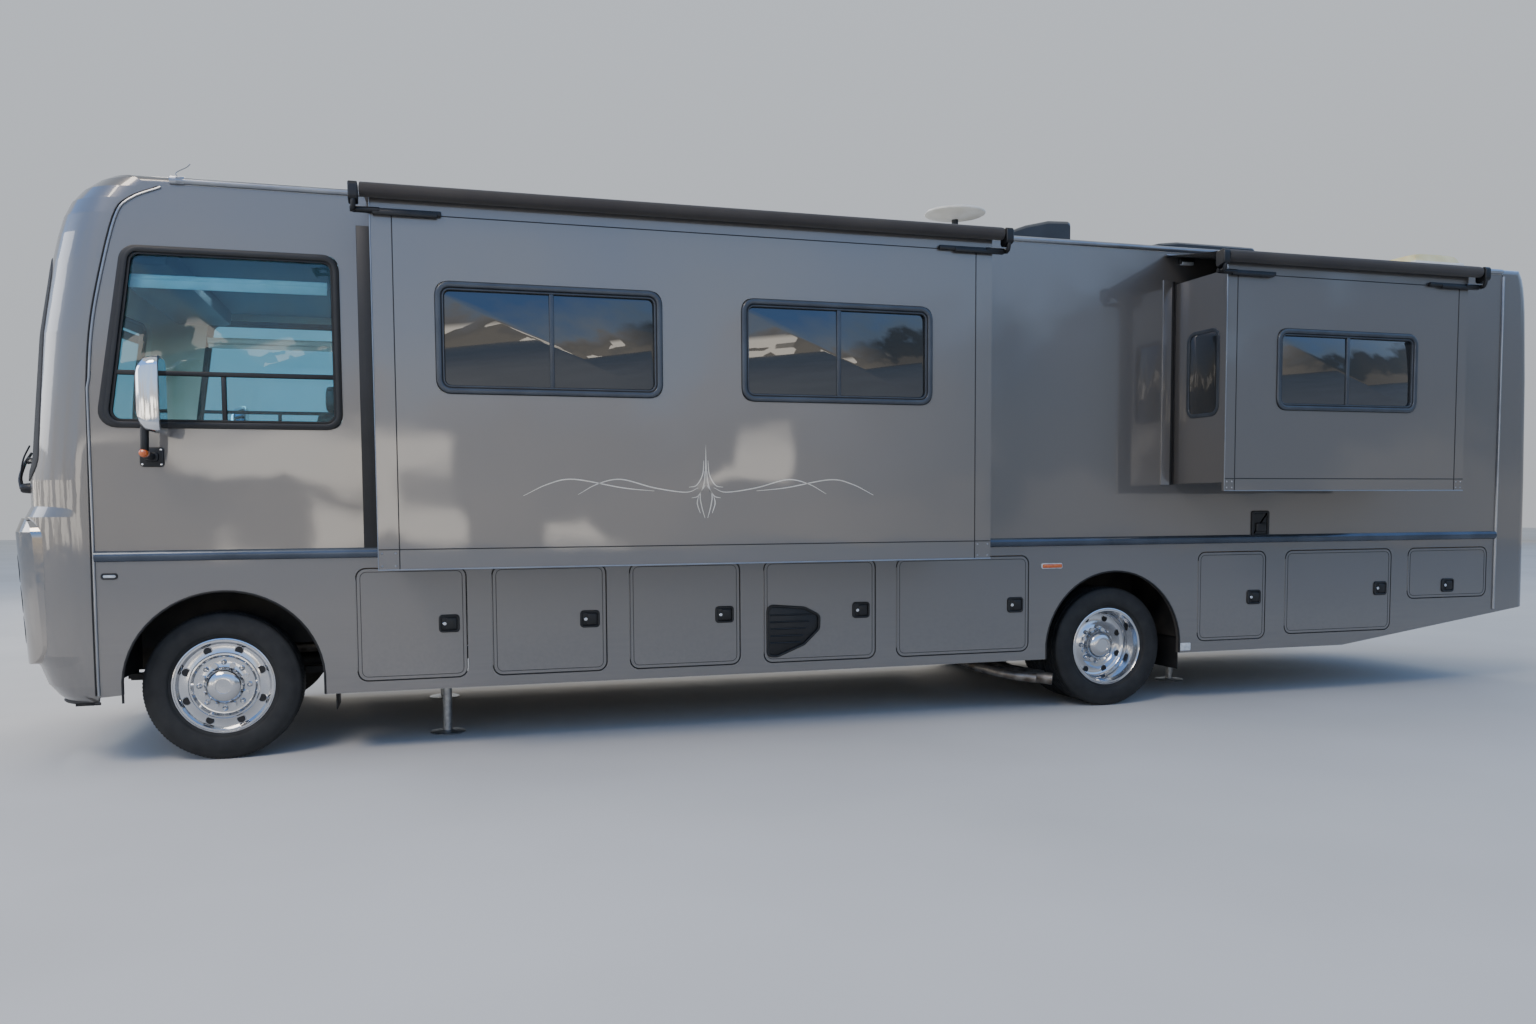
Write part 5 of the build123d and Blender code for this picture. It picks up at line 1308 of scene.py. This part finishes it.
SEAT_Y, SEAT_Z, BACK_LEAN = 0.680, 1.455, 0.03
for word, side in (("left", 1), ("right", -1)):
    y0 = side * SEAT_Y

    def on_seat(a, b, c):
        """A place on the seat's pan: forward, left, and up."""
        return at(a, y0 + b, SEAT_Z + c)

    def on_back(a, b, c):
        """A place on the back rest, which leans back a little: left, up, and forward."""
        return at(-0.615 - BACK_LEAN * (b - 1.55) + c, y0 + a, b)

    cushion = bmesh.new()
    pad(cushion, rounded([(-0.56, -0.255), (-0.03, -0.245), (-0.03, 0.245), (-0.56, 0.255)], 0.07, 6),
        on_seat, 0.115, 0.030)
    piece(f"{word}_seat_cushion", cushion, "root", "grained_seat_vinyl",
                    replaces=("cab_seats",) if side > 0 else ())
    back = bmesh.new()
    pad(back, rounded([(-0.250, 1.49), (0.250, 1.49), (0.235, 1.98), (0.15, 2.01), (-0.15, 2.01),
                       (-0.235, 1.98)], 0.07, 5), on_back, 0.100, 0.028)
    piece(f"{word}_seat_back", back, "root", "grained_seat_vinyl")
    head = bmesh.new()
    pad(head, rounded([(-0.14, 2.035), (0.14, 2.035), (0.13, 2.185), (-0.13, 2.185)], 0.05, 5),
        lambda a, b, c: on_back(a, b, c - 0.03), 0.090, 0.022)
    piece(f"{word}_head_rest", head, "root", "grained_seat_vinyl")
    stand = bmesh.new()
    brick(stand, (-0.44, y0 - 0.13, 1.131), (-0.18, y0 + 0.13, 1.40), 0.02)
    brick(stand, (-0.55, y0 - 0.22, 1.395), (-0.06, y0 + 0.22, 1.452), 0.012)
    shell_ring = rounded([(-0.245, 1.46), (0.245, 1.46), (0.228, 2.00), (-0.228, 2.00)], 0.07, 5)
    skin(stand, [[on_back(a, b, c) for a, b in ring] for ring, c in
                 ((inset(shell_ring, 0.03), -0.075), (shell_ring, -0.050), (shell_ring, 0.004))])
    for edge in (1, -1):
        rest = y0 + edge * 0.302
        tube(stand, smooth_line([at(-0.64, rest, 1.62), at(-0.60, rest, 1.70), at(-0.40, rest, 1.712),
                                 at(-0.20, rest, 1.705)], 5), 0.026, 10)
    for a in (-0.05, 0.05):
        tube(stand, [on_back(a, 2.00, -0.01), on_back(a, 2.06, -0.01)], 0.006, 8)
    piece(f"{word}_seat_frame", stand, "root", "moulded_dash_vinyl")

# %% [markdown]
# ### Dash
# The dash is one long moulding, so its side view is drawn once and carried across, with a step for the
# console. The steering wheel's plane rises at 55 degrees, and three dials stand under a hood.

# %% Dash and steering wheel
dash = bmesh.new()
dash_side = rounded([(0.760, 1.135), (0.520, 1.135), (0.495, 1.290), (0.415, 1.335), (0.405, 1.480),
                     (0.455, 1.565), (0.560, 1.590), (0.760, 1.560)], 0.03, 4)
sections = []
for y in (-1.14, -1.13, -0.30, -0.28, 0.28, 0.30, 0.94, 1.13, 1.14):
    console = 0.02 if abs(y) < 0.29 else 0.0
    shrink = 0.006 if abs(y) > 1.135 else 0.0
    sections.append([at(a - console, y, b) for a, b in inset(dash_side, shrink)])
skin(dash, sections)
hood_ring = rounded([(0.34, 1.56), (0.60, 1.56), (0.60, 1.625), (0.45, 1.665), (0.35, 1.650)], 0.02, 4)
skin(dash, [[at(a, y, b) for a, b in inset(hood_ring, g)] for y, g in
            ((0.36, 0.02), (0.38, 0.004), (0.42, 0.0), (0.82, 0.0), (0.86, 0.004), (0.88, 0.02))])
for y in (-0.85, -0.35, 0.05, 1.02):
    collar(dash, rounded(oblong(y - 0.09, y + 0.09, 1.40, 1.46), 0.012), 0.010, crosswise(0.407, -1),
           -0.002, 0.012, 0.003)
brick(dash, (0.382, -0.26, 1.36), (0.42, 0.26, 1.54), 0.008)
piece("dash_moulding", dash, "root", "moulded_dash_vinyl", replaces=("dash",))
wheel = bmesh.new()
lean = math.radians(55)
hub = Vector((0.33, 0.620, 1.56))


def on_wheel(a, b, c):
    """A place on the steering wheel: across, up along its plane, and out towards the seat."""
    return at(hub.x + b * math.cos(lean) - c * math.sin(lean), hub.y + a,
              hub.z + b * math.sin(lean) + c * math.cos(lean))


tube(wheel, [on_wheel(a, b, 0.0) for a, b in circle(0.196, 56)], 0.0145, 12, closed=True)
for w in (math.pi * 0.02, math.pi * 0.98, math.pi * 1.5):
    spoke = [on_wheel(r * math.cos(w), r * math.sin(w), -0.018 * (1 - r / 0.19))
             for r in (0.03, 0.09, 0.15, 0.192)]
    tube(wheel, spoke, [0.017, 0.013, 0.012, 0.012], 8)
turned(wheel, [(0.0, 0.012), (0.045, 0.008), (0.062, -0.006), (0.060, -0.030), (0.035, -0.050),
               (0.030, -0.150)], about(on_wheel, 0, 0), 32)
piece("steering_wheel", wheel, "root", "moulded_dash_vinyl")
dials = bmesh.new()
for y in (0.52, 0.62, 0.72):
    turned(dials, [(0.0, 0.0), (0.034, 0.0), (0.038, 0.004), (0.041, 0.0)],
           about(crosswise(0.352, -1), y, 1.607), 28)
piece("dials", dials, "root", "clear_lens")

# %% [markdown]
# ### Blinds
# A pale blind is rolled up over each side window, and a pleated curtain hangs folded behind the seats.
# Its pleats are upright tubes set close together, which gives the same stripes of light as cloth.

# %% Blinds and headliner
lining, blinds = bmesh.new(), bmesh.new()
brick(lining, (-0.72, -1.19, 2.905), (0.26, 1.19, 2.925), 0.006)
brick(lining, (0.22, -1.10, 2.80), (0.60, 1.10, 2.93), 0.03)
for side in (1, -1):
    tube(blinds, [at(-0.62, side * 1.205, 2.708), at(0.40, side * 1.205, 2.708)], 0.024, 14)
    brick(blinds, (-0.62, side * 1.224 - 0.004, 2.655), (0.40, side * 1.224 + 0.004, 2.700), 0.003)
    for k in range(14):
        x, y = -0.700 + 0.012 * (k % 2), side * (1.20 - 0.020 * k)
        tube(blinds, [at(x, y, 1.92), at(x, y, 2.86)], 0.011, 8)
piece("headliner", lining, "root", "moulded_dash_vinyl")
piece("rolled_blinds", blinds, "root", "pleated_blind_cloth")

# %% [markdown]
# ## On the roof
# From the ground only silhouettes show, so each unit gets a true one: two low air conditioner covers,
# a taller wedge with a steep rear, a round antenna on its post and a domed vent with a yellowed lid. The
# covers are vacuum formed, so their edges are soft: a side view is carried across and shrinks at its ends.

# %% Dome and cover shapes
def dome(bm, low_x, high_x, low_y, high_y, foot, top, power):
    """A cover that rises from an edge at its foot; the power sets how boxy it is."""
    columns, rows = 24, 14
    grid = []
    for i in range(columns + 1):
        u = i / columns * 2 - 1
        row = []
        for j in range(rows + 1):
            v = j / rows * 2 - 1
            lift = max(0.0, 1 - abs(u) ** power) ** (1 / power) * max(0.0, 1 - abs(v) ** power) ** (1 / power)
            x = (low_x + high_x) / 2 + u * (high_x - low_x) / 2
            y = (low_y + high_y) / 2 + v * (high_y - low_y) / 2
            row.append(at(x, y, foot + (top - foot) * lift))
        grid.append(row)
    join_grid(bm, grid)


COVER_HALF, COVER_EASE = 0.366, 0.035
ROOF_SKIN, COVER_FOOT = 3.312, 3.262


def cover(bm, rear, profile):
    """A moulded cover from its side profile, its long edges eased by shrinking the outer outlines."""
    base = rounded([(rear + a, ROOF_SKIN + b) for a, b in profile], 0.03, 4)
    middle_x = rear + profile[-1][0] / 2
    rings = []
    for t in (-1.0, -0.97, -0.90, -0.5, 0.0, 0.5, 0.90, 0.97, 1.0):
        shrink = COVER_EASE * max(0.0, abs(t) - 0.82) ** 1.6 / 0.18 ** 1.6 + 0.006
        crown = 1.0 - 0.010 * t * t
        rings.append([at(middle_x + (a - middle_x) * (1 - shrink / 0.5), COVER_HALF * t,
                         COVER_FOOT + (b - COVER_FOOT) * (1 - shrink / 0.35) * crown) for a, b in base])
    skin(bm, rings)


# %% Roof units
covers = bmesh.new()
front_cover = [(0, -0.05), (0, 0.19), (0.03, 0.23), (0.09, 0.248), (0.74, 0.248), (0.82, 0.225), (0.85, 0.16),
               (0.86, -0.05)]
rear_cover = [(0, -0.05), (0, 0.205), (0.025, 0.232), (0.78, 0.235), (0.95, 0.215), (1.07, 0.15),
              (1.11, 0.06), (1.11, -0.05)]
shroud = [(0, -0.05), (0, 0.322), (0.02, 0.340), (0.20, 0.333), (0.40, 0.285), (0.57, 0.22), (0.85, 0.04),
          (0.87, -0.05)]
for rear, profile in ((-3.790, front_cover), (-7.710, rear_cover), (-5.990, shroud)):
    cover(covers, rear, profile)
for k in range(9):
    y = -0.28 + 0.07 * k
    tube(covers, [at(-3.66, y, 3.5555), at(-3.12, y, 3.5555)], 0.004, 6)
    tube(covers, [at(-7.60, y, 3.540), at(-6.98, y, 3.542)], 0.004, 6)
for rear, front in ((-3.79, -2.93), (-7.71, -6.60), (-5.99, -5.12)):
    rim = rounded(rectangle(rear, front, -COVER_HALF, COVER_HALF), 0.05, 4)
    tube(covers, [at(a, b, ROOF_SKIN) for a, b in rim], 0.012, 8, closed=True)
piece("air_conditioner_covers", covers, "root", "smoked_roof_abs",
      replaces=("air_conditioners",))
ANTENNA = (-4.95, 0.42)
antenna = bmesh.new()
turned(antenna, [(0.075, 3.285), (0.075, 3.300), (0.045, 3.330), (0.022, 3.345), (0.020, 3.558),
                 (0.040, 3.564), (0.12, 3.577), (0.205, 3.590), (0.222, 3.597), (0.224, 3.605),
                 (0.212, 3.614), (0.15, 3.628), (0.08, 3.637), (0.0, 3.640)], about(at, *ANTENNA), 48)
piece("round_antenna", antenna, "root", "white_weathered_abs",
      replaces=("roof_fittings",))
neck = bmesh.new()
turned(neck, [(0.0195, 3.352), (0.0245, 3.356), (0.0245, 3.556), (0.0195, 3.5565)], about(at, *ANTENNA), 24)
piece("antenna_neck", neck, "root", "black_grained_abs")
curb = bmesh.new()
brick(curb, (-9.095, 0.555, 3.242), (-8.605, 1.045, 3.340), 0.012)
piece("vent_curb", curb, "root", "white_weathered_abs")
lid = bmesh.new()
dome(lid, -9.08, -8.62, 0.57, 1.03, 3.338, 3.415, 4.0)
piece("vent_dome", lid, "root", "yellowed_vent_acrylic")
stub = bmesh.new()
brick(stub, (0.085, HALF - 0.03, 3.205), (0.165, HALF + 0.016, 3.250), 0.008)
tube(stub, smooth_line([at(0.11, HALF - 0.02, 3.240), at(0.135, HALF - 0.03, 3.275),
                        at(0.085, HALF - 0.05, 3.315), at(0.065, HALF - 0.05, 3.335)], 5), 0.0025, 6)
piece("rail_joint_and_aerial", stub, "root", "anodised_rail_aluminium")

# %% [markdown]
# ## Entry side
# The door has its own window, a grab bar, a paddle handle and a rubber line all round. Its pieces ride
# on the door's body, so that they swing with it, while the grab bar stays on the wall.

# %% Entry door
low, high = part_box("entry_door")
rear, front = low.x - AXLE_X, high.x - AXLE_X - HINGE
door_outline = rounded(oblong(rear, front, low.z, high.z), 0.050, 6)
seal = bmesh.new()
collar(seal, inset(door_outline, -0.002), 0.007, on_right, -0.012, 0.003, 0.002)
tube(seal, [on_right(a, b, 0.0) for a, b in inset(door_outline, 0.024)], 0.0018, 6, closed=True)
piece("entry_door_seal", seal, "entry_door", "epdm_seal_rubber")
glass_outline = rounded(oblong(rear + 0.125, front - 0.125, 2.020, 2.440), 0.06, 5)
door_frame, door_pane = bmesh.new(), bmesh.new()
collar(door_frame, inset(glass_outline, -0.018), 0.030, on_right, -0.002, 0.012, 0.005)
plate(door_pane, inset(glass_outline, 0.008), on_right, -0.006, 0.002, 0.0005)
piece("entry_door_window_frame", door_frame, "entry_door", "blue_grey_coated_frame")
piece("entry_door_window_pane", door_pane, "entry_door", "privacy_glass")
handle = bmesh.new()
collar(handle, rounded(oblong(rear + 0.055, rear + 0.175, 1.62, 1.76), 0.02), 0.014, on_right,
       -0.001, 0.010, 0.004)
plate(handle, rounded(oblong(rear + 0.070, rear + 0.160, 1.65, 1.73), 0.012), on_right, -0.002, 0.014, 0.005)
piece("entry_door_handle", handle, "entry_door", "black_grained_abs")
grab = bmesh.new()
GRAB_X = -2.74
bar = [(1.36, 0.0), (1.37, 0.04), (1.42, 0.052), (1.80, 0.052), (1.85, 0.04), (1.86, 0.0)]
tube(grab, smooth_line([on_right(GRAB_X, z, out) for z, out in bar], 5), 0.014, 12)
for z in (1.36, 1.86):
    turned(grab, [(0.0, 0.010), (0.022, 0.009), (0.028, 0.0)], about(on_right, GRAB_X, z), 20)
piece("grab_bar", grab, "root", "chrome_plate")

# %% [markdown]
# ### Patio awning
# The awning is folded: its cloth is rolled under a long cover, and two pairs of arms lie flat on the
# wall. Opened out it would need a sheet of cloth, but folded it is only a roll, which is a turned part.

# %% Patio awning
fold = bmesh.new()
turned(fold, [(0.0, -6.385), (0.045, -6.385), (0.052, -6.380), (0.052, -1.712), (0.045, -1.705),
              (0.0, -1.705)], about(crosswise(0), -HALF - 0.075, 3.090), 28)
piece("rolled_patio_cloth", fold, "root", "coated_awning_weave", replaces=("patio_awning",))
arms = bmesh.new()
hooded = [(-HALF - 0.004, 3.165), (-HALF - 0.075, 3.160), (-HALF - 0.128, 3.115), (-HALF - 0.134, 3.070),
          (-HALF - 0.129, 3.070), (-HALF - 0.123, 3.112), (-HALF - 0.073, 3.154), (-HALF - 0.004, 3.159)]
skin(arms, [[at(x, y, z) for y, z in hooded] for x in (-6.39, -1.70)])
for x in (-6.440, -1.700):
    cap_ring = rounded([(-HALF - 0.003, 2.98), (-HALF - 0.10, 3.01), (-HALF - 0.136, 3.06),
                        (-HALF - 0.130, 3.13), (-HALF - 0.07, 3.17), (-HALF - 0.003, 3.17)], 0.02, 4)
    skin(arms, [[at(x + a, y, z) for y, z in inset(cap_ring, g)] for a, g in
                ((0.0, 0.004), (0.004, 0.0), (0.041, 0.0), (0.045, 0.004))])
    for a, c in ((0.004, 0.020), (0.026, 0.042)):
        brick(arms, (x + a, -HALF - c, 1.505), (x + a + 0.016, -HALF - c + 0.018, 2.99), 0.004)
    for low_z, high_z in ((1.500, 1.560), (2.30, 2.36)):
        brick(arms, (x - 0.004, -HALF - 0.045, low_z), (x + 0.049, -HALF - 0.001, high_z), 0.006)
piece("patio_awning_arms", arms, "root", "black_coated_steel")

# %% [markdown]
# ## The rear
# Tall lamp clusters stand at the corners, with small marker lamps on top. A recess for a blank plate
# and a black lower valance close the back. As on the nose, one rule lays flat outlines on the cap.

# %% Rear lamps and trim
TAIL_X = -9.550
TAIL_LEAN = [(0.25, 0.0), (0.60, 0.004), (1.60, 0.014), (2.40, 0.034), (2.94, 0.060), (3.12, 0.082)]


def on_tail(a, b, c):
    """A place on the rear cap, which leans in a little towards the roof."""
    return at(TAIL_X + between(TAIL_LEAN, b) - c, a, b)


bezels, red, amber_rear, clear_rear = bmesh.new(), bmesh.new(), bmesh.new(), bmesh.new()
for side in (1, -1):
    low_y, high_y = sorted((side * 1.020, side * 1.170))
    cluster = rounded(rectangle(low_y, high_y, 0.86, 1.36), 0.035, 5)
    collar(bezels, cluster, 0.016, on_tail, -0.002, 0.014, 0.005)
    for low_z, high_z, lens in ((0.875, 1.015, clear_rear), (1.020, 1.200, red), (1.205, 1.345, amber_rear)):
        plate(lens, rounded(rectangle(low_y + 0.017, high_y - 0.017, low_z, high_z), 0.010), on_tail,
              -0.002, 0.011, 0.005)
    plate(red, rounded(rectangle(low_y, high_y - 0.03, 2.925, 2.975), 0.012), on_tail, -0.002, 0.018, 0.006)
for y in (-0.16, 0.0, 0.16):
    plate(red, rounded(rectangle(y - 0.05, y + 0.05, 3.035, 3.065), 0.010), on_tail, -0.002, 0.016, 0.006)
piece("rear_lamp_bezels", bezels, "root", "black_grained_abs")
piece("rear_red_lenses", red, "root", "red_lens")
piece("rear_amber_lenses", amber_rear, "root", "amber_lens")
piece("rear_clear_lenses", clear_rear, "root", "clear_lens")
back = bmesh.new()
panel = [(-0.86, 0.80), (0.86, 0.80), (0.82, 1.42), (-0.82, 1.42)]
tube(back, [on_tail(a, b, 0.0) for a, b in dense(rounded(panel, 0.05, 5))], 0.004, 6, closed=True)
plate(back, rounded(rectangle(-0.17, 0.17, 0.90, 1.08), 0.01), on_tail, -0.002, 0.003, 0.001)
collar(back, rounded(rectangle(-0.19, 0.19, 0.88, 1.10), 0.02), 0.02, on_tail, -0.002, 0.010, 0.004)
brick(back, (-9.545, -1.10, 0.632), (-9.530, 1.10, 0.700), 0.006)
brick(back, (-9.53, -0.07, 2.985), (-9.478, 0.07, 3.025), 0.010)
piece("rear_trim", back, "root", "black_grained_abs")

# %% [markdown]
# ## Below the skirts
# Dished feet stand under the levelling legs, whose galvanised tubes show above them. Foot and tube are
# one turned part that moves with its pair of jacks. Two tail pipes run out to the side, and mud flaps
# hang behind the wheels.

# %% Jacks, pipe tips, mud flaps
jack = [(0.0, 0.0), (0.100, 0.0), (0.109, 0.004), (0.1095, 0.009), (0.100, 0.012), (0.060, 0.0145),
        (0.042, 0.0165), (0.034, 0.0185), (0.0288, 0.0190), (0.0288, 0.378), (0.0, 0.379)]
for pair, x, aside in (("front", -1.240, 0.725), ("rear", -6.950, 0.300)):
    feet = bmesh.new()
    for y in (aside, -aside):
        turned(feet, jack, about(at, x, y), 36)
    piece(f"{pair}_jack_feet", feet, f"{pair}_jacks", "galvanised_steel", replaces=(f"{pair}_jack_legs",))
flaps = bmesh.new()
for x, inner, outer, foot in ((-0.606, 0.93, 1.20, 0.26), (-6.352, 0.66, 1.215, 0.24)):
    for side in (1, -1):
        low_y, high_y = sorted((side * inner, side * outer))
        brick(flaps, (x - 0.008, low_y, foot), (x, high_y, 0.62), 0.003)
piece("mud_flaps", flaps, "root", "epdm_seal_rubber")
tips = bmesh.new()
tail_pipe = [at(-4.96, 0.70, 0.300), at(-5.03, 0.95, 0.268), at(-5.17, 1.10, 0.240), at(-5.33, 1.215, 0.216)]
tube(tips, smooth_line(tail_pipe, 6), 0.042, 18)
tube(tips, smooth_line([at(-4.80, 0.72, 0.330), at(-4.88, 0.95, 0.290), at(-5.03, 1.12, 0.252),
                        at(-5.20, 1.215, 0.228)], 6), 0.034, 16)
piece("tail_pipes", tips, "root", "heat_stained_steel")

# %% [markdown]
# ## End wall of the bedroom room
# Its forward end carries a small upright window, and black sweep seals show round the opening. They are
# kept thin, so that the room slides past them without touching.

# %% Bedroom end window and sweep seals
def on_end(a, b, c):
    """A place on the forward end of the bedroom room: outwards from the wall, up, and forwards."""
    return at(-6.237 + c, HALF + a, b)


end_outline = rounded(rectangle(0.14, 0.48, 2.03, 2.62), 0.075, 6)
end_frame, end_pane, sweeps = bmesh.new(), bmesh.new(), bmesh.new()
collar(end_frame, end_outline, 0.026, on_end, -0.001, 0.0055, 0.002)
plate(end_pane, inset(end_outline, 0.022), on_end, -0.001, 0.0022, 0.0005)
piece("bedroom_end_window_frame", end_frame, "bedroom_slide", "blue_grey_coated_frame")
piece("bedroom_end_window_pane", end_pane, "bedroom_slide", "privacy_glass")
inside, outside = HALF - 0.002, HALF + 0.0095
for name, (rear, front, low, high) in rooms.items():
    foot = low + 0.052
    for x in (rear + 0.050, front - 0.050):
        brick(sweeps, (x - 0.005, inside, foot), (x + 0.005, outside, high - 0.055), 0.003)
    brick(sweeps, (rear + 0.05, inside, high - 0.058), (front - 0.05, outside, high - 0.046), 0.003)
piece("sweep_seals", sweeps, "root", "epdm_seal_rubber")
print("main pieces done")
